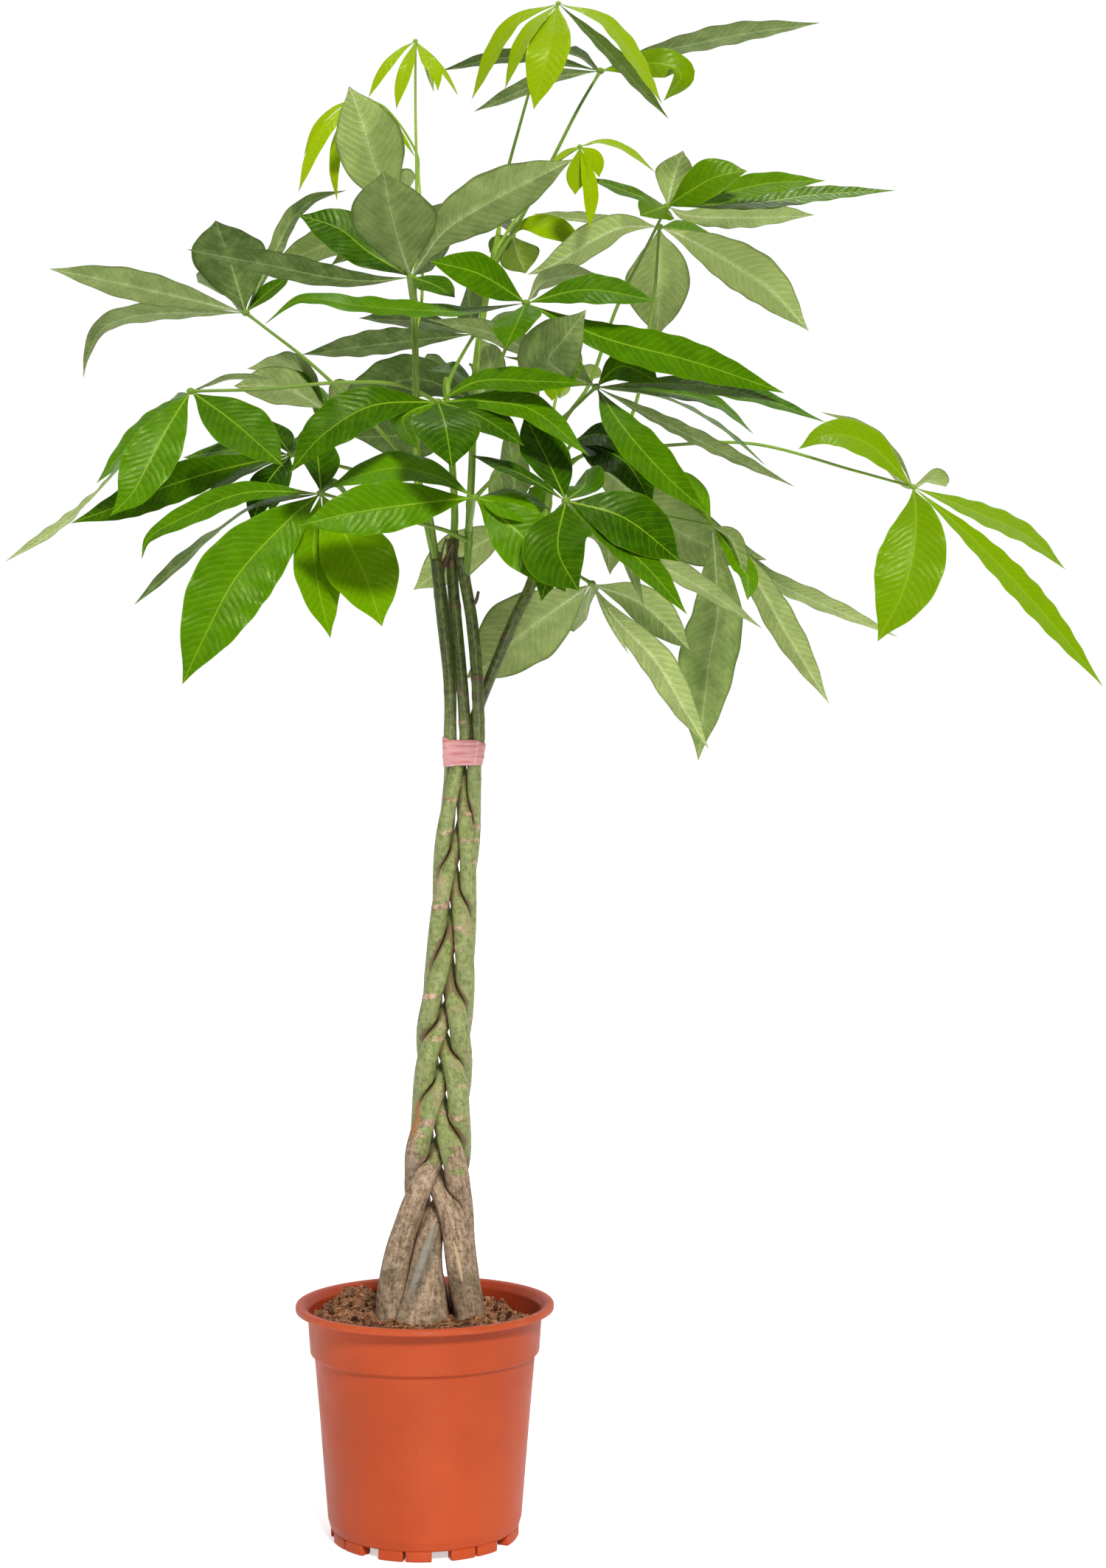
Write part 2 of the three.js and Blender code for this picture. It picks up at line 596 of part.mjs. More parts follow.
    blades: [
      blade(30, 0.6, [248, 1211, 68], [270, 1207, 90]),
      blade(52, -0.85, [247, 1204, 50], [286, 1182, 58], [318, 1160, 62], [357, 1119, 66]),
      blade(66, -0.95, [217, 1168, 78], [216, 1113, 92]),
      blade(40, -0.75, [184.6, 1216, 15], [150.3, 1200, 2], [119.9, 1181, -6], [95.2, 1171.4, -10]),
      blade(30, -0.35, [160, 1222, 70], [100, 1228, 95]),
    ],
  },
  {
    name: "leaf_16", stem: 2, joint: 1052, hub: [-218, 1063, -20],
    stalk: [[-20, 1068, 15], [-80, 1071, 0], [-150, 1065, -10]],
    blades: [
      blade(52, 0.9, [-240, 1028, -45], [-258, 994, -62], [-273, 967, -72], [-293, 947, -75]),
      blade(42, [0.55, -0.55], [-270, 1008, -12], [-330, 945, 2], [-391, 904, 10]),
      blade(56, 0.85, [-178, 1034, -50], [-132, 993, -75]),
      blade(40, 0.5, [-265, 1022, 20], [-306, 977, 40]),
      blade(30, -0.2, [-180, 1075, 10], [-140, 1074, 25]),
      blade(45, 0.3, [-240, 1035, 40], [-255, 1005, 85]),
    ],
  },
  {
    name: "leaf_17", stem: 5, joint: 968, hub: [-125, 1004, 15],
    stalk: [[-50, 985, 25]],
    blades: [
      blade(44, 0.85, [-189, 990, 30], [-244, 973, 45], [-285, 956, 60], [-330, 940, 70]),
      blade(26, 0.3, [-170, 986, 5], [-212, 961, -5]),
      blade(36, 0.8, [-148, 975, -12], [-161, 938, -22]),
      blade(30, 0.6, [-135, 975, -2], [-145, 948, -5]),
      blade(36, 0.7, [-138, 1022, 30], [-148, 1038, 45]),
      blade(32, 0.6, [-175, 1008, 60], [-226, 1001, 90]),
      blade(40, 0.5, [-108, 1016, 45], [-95, 1026, 75]),
    ],
  },
  {
    name: "leaf_18", stem: 3, joint: 922, hub: [-97, 968, -90],
    stalk: [[20, 933, -22], [-5, 940, -28], [-50, 955, -60]],
    blades: [
      blade(70, 0.95, [-125, 945, -120], [-174, 892, -142], [-204, 837, -160], [-226, 790, -170]),
      blade(34, 0.65, [-168, 968, -75], [-223, 946, -72], [-257, 926, -70], [-264, 906, -68]),
      blade(34, [0.6, -0.75], [-158, 956, -55], [-189, 936, -45], [-230, 902, -38], [-271, 864, -35]),
      blade(46, 0.85, [-104, 920, -106], [-99, 878, -118], [-88, 833, -125]),
      blade(68, 0.95, [-75, 930, -102], [-56, 891, -110], [-40, 844, -118]),
      blade(46, 0.8, [-100, 1000, -75], [-106, 1035, -60]),
      blade(20, 0.5, [-85, 975, -65], [-70, 966, -35]),
    ],
  },
  {
    name: "leaf_19", stem: 3, joint: 932, hub: [46, 964, -140],
    stalk: [[44, 950, -60]],
    blades: [
      blade(50, 0.9, [-10, 958, -155], [-70, 949, -160], [-117, 938, -160]),
      blade(44, 0.6, [10, 984, -135], [-32, 991, -130], [-90, 974, -130]),
      blade(56, 0.95, [90, 928, -165], [131, 876, -180]),
      blade(26, 0.35, [85, 966, -130], [118, 952, -125]),
      blade(34, 0.7, [80, 955, -150], [112, 941, -155]),
    ],
  },
  {
    name: "leaf_20", stem: 4, joint: 918, hub: [131, 961, -150],
    stalk: [[118, 945, -60]],
    blades: [
      blade(64, 0.95, [124, 915, -195], [143, 877, -215]),
      blade(26, 0.45, [90, 985, -150], [42, 1004, -150]),
      blade(48, 0.8, [113, 1000, -125], [92, 1041, -110]),
      blade(40, 0.7, [148, 975, -125], [150, 990, -95]),
      blade(58, 0.85, [185, 945, -165], [238, 904, -170]),
      blade(38, -0.5, [195, 915, -140], [255, 882, -130], [314, 842, -125]),
      blade(40, -0.7, [168, 925, -100], [172, 892, -75]),
      blade(40, 0.8, [118, 905, -135], [108, 867, -135]),
      blade(26, -0.5, [180, 920, -120], [204, 862, -105]),
      blade(36, 0.7, [200, 905, -180], [244, 855, -190]),
    ],
  },
  {
    name: "leaf_21", stem: 4, joint: 974, hub: [454, 974, 0],
    stalk: [[150, 1005, 18], [217, 1012, 28], [305, 1014, 32], [400, 989, 18]],
    blades: [
      blade(64, 0.97, [457, 949, -28], [454, 912, -50], [444, 875, -62], [421, 830, -66]),
      blade(40, 0.5, [520, 947, 0], [560, 928, 0], [596, 897, 0]),
      blade(40, 0.6, [510, 925, -20], [570, 862, -30], [631, 788, -30]),
      blade(44, 0.65, [410, 1015, -10], [375, 1022, -15], [347, 1009, -20]),
      blade(30, -0.25, [440, 1000, 20], [410, 1028, 30], [368, 1044, 40]),
      blade(34, -0.45, [470, 980, 50], [485, 974, 85]),
      blade(24, -0.4, [440, 982, 30], [427, 992, 45]),
    ],
  },
  {
    name: "leaf_22", stem: 4, joint: 932, hub: [267, 938, -35],
    stalk: [[150, 945, -15], [210, 948, -28]],
    blades: [
      blade(38, -0.75, [300, 900, -20], [336, 838, -5], [376, 772, 5]),
      blade(34, -0.5, [320, 890, 0], [363, 868, 18], [405, 850, 28], [440, 834, 30]),
      blade(24, 0.8, [298, 895, -60], [300, 868, -90]),
      blade(30, -0.6, [285, 925, -50], [298, 885, -62]),
      blade(60, -0.92, [270, 900, -12], [272, 856, 8], [264, 812, 28], [254, 719, 48]),
      blade(36, 0.6, [250, 968, -40], [228, 990, -45]),
    ],
  },
  {
    name: "leaf_23", stem: 4, joint: 904, hub: [155, 884, 0],
    stalk: [[130, 898, 8]],
    blades: [
      blade(76, -0.92, [118, 858, 18], [88, 836, 32], [62, 812, 42], [38, 796, 46]),
      blade(38, -0.8, [174, 856, -8], [215, 811, -12], [243, 764, -12], [264, 730, -8]),
      blade(42, -0.85, [200, 866, -5], [247, 822, -8]),
      blade(6, -1, [172, 850, -25], [190, 817, -30]),
      blade(50, -0.5, [150, 862, 60], [150, 850, 120]),
    ],
  },
  {
    name: "leaf_24", stem: 4, joint: 946, hub: [85, 940, 90],
    stalk: [[100, 945, 50]],
    blades: [
      blade(52, -0.85, [40, 915, 95], [-11, 878, 95]),
      blade(55, -0.8, [78, 975, 110], [85, 1005, 105]),
      blade(35, -0.8, [82, 995, 75], [76, 1030, 65]),
      blade(40, 0.6, [105, 962, 70], [118, 984, 70]),
      blade(50, -0.4, [90, 945, 140], [100, 930, 200]),
    ],
  },
  {
    name: "leaf_25", stem: 4, joint: 960, hub: [138, 1017, -10],
    stalk: [[122, 990, 5]],
    blades: [
      blade(62, -0.9, [185, 975, 5], [250, 925, 25], [318, 906, 35]),
      blade(52, 0.8, [185, 998, -60], [212, 957, -80]),
      blade(40, 0.6, [165, 1022, -35], [200, 1003, -40]),
      blade(30, 0.5, [148, 1008, -40], [153, 1002, -60]),
    ],
  },
  {
    name: "leaf_26", stem: 2, joint: 1042, hub: [-91, 1045, 85],
    stalk: [[-30, 1052, 70]],
    blades: [
      blade(46, -0.8, [-130, 1066, 80], [-178, 1068, 75]),
      blade(30, 0.35, [-115, 1075, 108], [-162, 1079, 120]),
      blade(48, -0.5, [-120, 1082, 135], [-166, 1084, 160]),
      blade(46, -0.4, [-85, 1055, 150], [-80, 1045, 200]),
    ],
  },
  {
    name: "leaf_27", stem: 4, joint: 1024, hub: [128, 1080, 70],
    stalk: [[120, 1048, 45]],
    blades: [
      blade(26, 0.8, [122, 1068, 60], [118, 1054, 55]),
      blade(24, -0.7, [128, 1068, 72], [125, 1056, 75]),
      blade(36, -0.5, [145, 1079, 85], [165, 1076, 100]),
      blade(36, -0.5, [115, 1081, 110], [105, 1079, 145]),
    ],
  },
  {
    name: "leaf_28", stem: 3, joint: 1170, hub: [82, 1208, 50],
    stalk: [[76, 1200, 32]],
    blades: [
      blade(46, -0.85, [86, 1192, 55], [93.6, 1172.5, 60]),
      blade(30, 0.6, [70, 1200, 48], [60, 1192, 46]),
      blade(28, 0.8, [92, 1218, 42], [110, 1217, 34], [130, 1209, 27], [148, 1197, 22]),
      blade(24, 0.6, [75, 1218, 75], [68, 1222, 95]),
    ],
  },
];

// How wide a leaflet is along its length: narrow at the base, widest past the middle, drawn out
// to a point at the tip.
function outline(share) {
  return Math.max(Math.sin(Math.PI * share ** 1.15) ** 1.05, 0.05);
}

const LONG_BLADE = 125;
const LONG_STATIONS = [0, 0.25, 0.55, 0.85, 1];
const SHORT_STATIONS = [0, 0.35, 0.78, 1];

// The upper face's direction on a midrib: turned from the eye about the midrib by the seen value.
function facing(place, way, face, hand) {
  const eye = EYE.clone().sub(place).normalize();
  const toEye = eye.addScaledVector(way, -eye.dot(way)).normalize();
  const up = new THREE.Vector3().crossVectors(way, toEye).multiplyScalar(hand);
  return toEye.multiplyScalar(face).addScaledVector(up, Math.sqrt(1 - face * face));
}

// A leaflet: upper and lower faces over three points at each station, split alike.
function bladeSolid(hub, { wide, face, points }) {
  const path = route([hub, ...points.map(seen)]);
  const middleWay = path.along(0.5);
  const middleEye = EYE.clone().sub(path.at(0.5));
  const hand = new THREE.Vector3().crossVectors(middleWay, middleEye).z < 0 ? -1 : 1;
  const stations = path.length > LONG_BLADE ? LONG_STATIONS : SHORT_STATIONS;
  const upper = [];
  const lower = [];
  for (const share of stations) {
    const place = path.at(share);
    const way = path.along(share);
    const top = facing(place, way, face[0] + (face[face.length - 1] - face[0]) * share, hand);
    const side = new THREE.Vector3().crossVectors(way, top);
    const half = (wide / 2) * outline(share);
    for (const edge of [-1, 0, 1]) {
      const thick = (edge === 0 ? BLADE.rib : BLADE.edge) / 2;
      const lift = BLADE.fold * half * Math.abs(edge);
      const point = place.clone().addScaledVector(side, edge * half).addScaledVector(top, lift);
      upper.push(point.clone().addScaledVector(top, thick));
      lower.push(point.clone().addScaledVector(top, -thick));
    }
  }
  const faces = [];
  const under = upper.length;
  const wall = (a, b) => faces.push([a, under + a, under + b], [a, under + b, b]);
  for (let i = 0; i < stations.length - 1; i += 1) {
    for (const column of [0, 1]) {
      const a = 3 * i + column;
      faces.push([a, a + 4, a + 1], [a, a + 3, a + 4]);
      faces.push([under + a, under + a + 1, under + a + 4], [under + a, under + a + 4, under + a + 3]);
    }
    wall(3 * i, 3 * i + 3);
    wall(3 * i + 5, 3 * i + 2);
  }
  const end = 3 * (stations.length - 1);
  wall(1, 0);
  wall(2, 1);
  wall(end, end + 1);
  wall(end + 1, end + 2);
  const flat = faces.map(([a, b, c]) => [a, c, b]);
  return solid([...upper, ...lower], flat);
}

function leafSolid({ stem, joint, stalk, hub, blades }) {
  const carrier = STEMS[stem - 1];
  const centre = seen(hub);
  const path = route([shootPoint(carrier, joint), ...stalk.map(seen), centre]);
  const steps = Math.max(2, Math.ceil(path.length / 70));
  const taper = (share) => STALK.root + (STALK.tip - STALK.root) * share;
  const knob = new THREE.OctahedronGeometry(HUB_RADIUS, 0).translate(...centre.toArray());
  let leaf = rod(path, steps, STALK.sides, taper).subtract(shoot(carrier, GAP)).add(solidOf(knob));
  for (const one of blades) leaf = leaf.add(bladeSolid(centre, one));
  return leaf.asOriginal().simplify(SLIVER);
}

// Assembly
function finish(color, roughness) {
  return new THREE.MeshStandardMaterial({ color, roughness, metalness: 0 });
}

const FINISH = {
  pot: finish("#a8543a", 0.45),
  soil: finish("#5a3d2a", 0.95),
  stem: finish("#5c6238", 0.7),
  tie: finish("#d9828c", 0.35),
  leaf: finish("#4b8a12", 0.4),
};

function mesh(name, body, material) {
  const made = new THREE.Mesh(geometryOf(body), material);
  made.name = name;
  return made;
}

const potGroup = new THREE.Group();
potGroup.add(mesh("pot", potSolid(), FINISH.pot), mesh("soil", soilSolid(), FINISH.soil));

const trunk = new THREE.Group();
for (const stem of STEMS) trunk.add(mesh(stem.name, stemSolid(stem), FINISH.stem));
trunk.add(mesh("tie", tieSolid(), FINISH.tie));

const crown = new THREE.Group();
for (const leaf of LEAVES) crown.add(mesh(leaf.name, leafSolid(leaf), FINISH.leaf));

const plant = new THREE.Group();
plant.add(potGroup, trunk, crown);

export default plant;
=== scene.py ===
"""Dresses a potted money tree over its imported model.

Five stems are braided above a terracotta-coloured nursery pot and tied below the crown, and
green shoots carry palmate leaves on long stalks. Every shape is worked out in millimetres as a
function of two parameters on a grid, and written into its mesh in metres.
"""

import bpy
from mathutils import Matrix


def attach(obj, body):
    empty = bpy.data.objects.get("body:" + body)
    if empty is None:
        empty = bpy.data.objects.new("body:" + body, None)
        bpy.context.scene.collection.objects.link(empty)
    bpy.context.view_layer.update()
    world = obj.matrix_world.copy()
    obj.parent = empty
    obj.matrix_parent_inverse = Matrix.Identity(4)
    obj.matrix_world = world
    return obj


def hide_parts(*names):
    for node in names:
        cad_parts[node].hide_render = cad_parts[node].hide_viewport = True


bl_info = {
    "name": "Potted Money Tree",
    "version": (1, 0, 0),
    "blender": (4, 5, 0),
    "location": "3D View > Sidebar > Money Tree",
    "description": "Builds a braided money tree in a nursery pot, with its soil, tie and leaves",
    "category": "Add Mesh",
}

from math import radians

import bpy
import numpy as np
from bpy.props import FloatProperty, FloatVectorProperty, IntProperty, PointerProperty
from bpy.types import Operator, Panel, PropertyGroup

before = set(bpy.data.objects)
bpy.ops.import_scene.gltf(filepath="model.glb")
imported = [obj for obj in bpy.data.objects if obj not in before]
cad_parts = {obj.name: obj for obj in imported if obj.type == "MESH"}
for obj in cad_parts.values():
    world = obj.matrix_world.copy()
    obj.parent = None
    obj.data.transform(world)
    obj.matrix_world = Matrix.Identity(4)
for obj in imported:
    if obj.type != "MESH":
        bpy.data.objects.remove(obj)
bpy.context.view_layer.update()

METRE = 0.001
CENTIMETRE = 10.0
EYE = np.array([119.0, -2290.0, 697.5])
LENS = 56.5

POT = {
    "rim_radius": 120.0,
    "rim_top": 216.0,
    "lip": 6.0,
    "mouth_radius": 111.3,
    "wall": 1.6,
    "band_top_radius": 109.0,
    "band_foot_radius": 106.2,
    "band_foot": 171.0,
    "body_top_radius": 102.4,
    "body_foot_radius": 90.0,
    "body_foot": 19.4,
    "base_radius": 87.8,
    "floor": 9.0,
    "floor_thickness": 2.0,
}
FEET = {
    "pairs": 8, "first_slit": -9.6, "slit": 1.8, "pair_width": 33.0,
    "inner": 75.0, "outer": 87.2, "centre": 12.0,
}
# The holes lie on a ring of this radius, in a belt of the floor that reaches as far to each side.
DRAIN = {"count": 8, "radius": 4.0, "ring": 56.0, "belt": 9.0}
POT_COLUMNS = 160

SOIL_LEVEL = 203.0
SOIL_COLUMNS = 224
SOIL_ROWS = 72
SOIL_GAP = 0.3
# Each mound or hollow of the soil: its middle, its width and its height.
MOUNDS = [
    (-72, 58, 26, 13), (34, -72, 16, 5), (-50, 92, 14, -6),
    (60, 10, 22, 4), (108, 45, 42, -14), (-60, -60, 22, -4),
]
# Each size of the soil's roughness: its height, its width and its seed.
SOIL_ROUGHNESS = [(2.4, 15, 3), (1.6, 6.5, 5), (0.9, 2.9, 9)]
CRUMB = {"least": 0.9, "spread": 2.5, "unevenness": (0.6, 1.25), "lift": 0.25}
FIBRE = {
    "half_length": (5, 13), "radius": (0.25, 0.75), "bend": 3,
    "slope": (-0.1, 0.12), "lift": 0.9, "shade": 1.4,
}

# For each height: the bundle's middle, its half width, a strand's radius and the fifths of a
# full pass that the braid has made, counted downwards from just under the tie.
BRAID = np.array([
    [170, 3, 49, 18, 5.5],
    [206, 3.6, 49, 18, 5.5],
    [258, 4.2, 41, 13.6, 5.5],
    [295, 9.4, 35.2, 12.2, 5.4],
    [328, 11.5, 31.6, 11.6, 4.97],
    [360, 12.5, 30.6, 11.2, 4.42],
    [394, 14.9, 27.9, 10.4, 3.95],
    [431, 17, 27, 9.9, 3.42],
    [470, 18.2, 26, 9.5, 2.68],
    [521, 23, 24, 9, 1.92],
    [571, 25.8, 22, 8.3, 1.42],
    [608, 27.6, 21, 7.8, 0.93],
    [645, 30.1, 21, 7.4, 0.45],
    [698, 34.7, 18, 6.8, -0.02],
    [727, 36.2, 17.8, 6.2, -0.3],
    [770, 37.5, 17.9, 5.6, -0.4],
], float)
BRAID_DEPTH = 1.4
BRAID_SQUARENESS = 1.1
STEM_FOOT = 182.0
FOOT_SETTLED = 206.0
FOOT_END = 322.0
FOOT_EASE = np.array([1.25, 1.25, 3.0])
TOP_START = 712.0
TOP_SETTLED = 744.0
STRAND_STEP = 3.4
STRAND_GAP = 0.15
STRAND_SHARPNESS = 9
# How far from a neighbour's skin the strands' brown dust and painted shade reach.
DUST_AND_SHADE_REACH = 8.0
# The heights between which the old bark's ridges end and the leaf scars begin.
OLD_BARK = (300.0, 430.0)
SCAR_BARK = (330.0, 430.0)
SCARS = {"count": 14, "lowest": 360.0, "below_top": 20.0, "width": 2.2}
# The rings of a stem's cut end: each one's share of the last ring's reach, and its rise above it.
CUT_END = np.array([[1.0, 0], [0.96, 0.5], [0.8, 0.9], [0.0, 0.9]])
BARK_MAP = 100.0
TIE = {"low": 715.0, "high": 737.0, "thick": 1.5, "fold": 7.2, "clearance": 0.3, "lining": 0.25}

# Each stem: its place in the braid, its foot in the soil as a middle and a radius, the way its
# cut top goes, the green shoot that grows from it, and dry twigs or stubs beside the cut, each a
# radius and points.
STEMS = {
    "stem_1": {
        "turn": 1,
        "foot": (7, 27, 19),
        "top": [(23.6, -4, 742), (23, -4, 790), (16.5, -6, 850), (13, -6, 885), (11, -5, 905)],
        "shoot": [
            (12, -5, 893), (7.5, -6, 925), (3, -8, 950), (-6, -10, 974), (-8, -14, 1085), (-10, -18, 1163),
        ],
        "twigs": [
            (1.3, [(15, -7, 896), (16, -9, 912), (20, -10, 925)]),
            (2.4, [(16, -5, 893), (19, -6, 905), (27, -8, 921)]),
        ],
    },
    "stem_2": {
        "turn": 2,
        "foot": (-26, 0, 20),
        "top": [(38.3, -6, 742), (34.5, -5, 790), (29, -3, 850), (25.5, 0, 890), (25, 3, 925)],
        "shoot": [(25, 3, 915), (27, 14, 946), (24, 26, 1000), (19, 32, 1050), (18, 36, 1082)],
        "twigs": [(1.2, [(27, -2, 905), (31, -6, 920), (30, -7, 932)])],
    },
    "stem_3": {
        "turn": 4,
        "foot": (36, 22, 14),
        "top": [(50, -7, 742), (49, -8, 790), (43.5, -7, 850), (37.5, -6, 885), (34, -6, 907)],
        "shoot": [
            (36.5, -6, 880), (40, -9, 908), (41.5, -8, 945), (43.5, -5, 987),
            (47, 0, 1083), (57, 8, 1155), (68, 14, 1212),
        ],
        "twigs": [(2.0, [(44, -8, 862), (48, -10, 868), (50, -11, 876)])],
    },
    "stem_4": {
        "turn": 3,
        "foot": (-3, -14, 27),
        "top": [(41, 9, 742), (49, 9, 768), (57.5, 8, 790), (82.5, 6, 850), (97, 4, 880), (102, 3, 893)],
        "shoot": [(99, 4, 886), (108, 8, 920), (114, 12, 955), (117, 16, 992), (119, 19, 1030)],
        "twigs": [],
    },
    "stem_5": {
        "turn": 0,
        "foot": (41.5, -6, 14),
        "top": [(22.5, 13, 742), (23, 13, 790), (18, 16, 850), (12, 20, 890), (8, 22, 915)],
        "shoot": [(9, 22, 905), (2, 30, 935), (-6, 34, 975), (-12, 38, 1010)],
        "twigs": [],
    },
}
SHOOT_RADIUS = 3.6
KNOT = {"height": 0.75, "width": 3.0}
# A stalk swells at its root and at its tip by a share of its radius, over a length.
STALK = {
    "root": 2.1, "tip": 1.35, "step": 5.0,
    "root_swell": 0.55, "root_reach": 8.0, "tip_swell": 0.5, "tip_reach": 6.0,
}
HUB = {"radius": 4.0, "flatness": 0.8}
BLADE = {"step": 3.6, "least_steps": 14, "thickness": 0.34, "rib_over": 0.12, "rib_under": 0.75, "fold": 0.1}
# The columns of a leaflet, as shares of the half width beside its midrib.
SPAN = np.array([-1, -0.9, -0.74, -0.55, -0.36, -0.19, -0.07, 0, 0.07, 0.19, 0.36, 0.55, 0.74, 0.9, 1])


def leaflet(wide, face, *points, tone=None, young=None):
    """One leaflet: its widest width, how its faces are turned, and its midrib's points.

    Face is 1 where the upper face looks at the eye, 0 edge-on and -1 where the underside does.
    Tone and young take the place of its leaf's brightness and youth; a tone also paints the light and shade the
    leaflet lies in, and a raised young can paint light on it.
    """
    face = np.atleast_1d(face).astype(float)
    return {"wide": wide, "face": face, "points": points, "tone": tone, "young": young}


def grown(stem, joint, stalk, hub, *blades, upper, under, youth):
    """One leaf: its stem and the height it grows from, its stalk's points, its hub and its leaflets.

    Upper and under are how bright its two faces are, partly their own green and partly painted light and shade, and
    youth is how fresh it is, from 0 to 1.
    """
    return {
        "stem": stem, "joint": joint, "stalk": stalk, "hub": hub, "blades": blades,
        "upper": upper, "under": under, "youth": youth,
    }
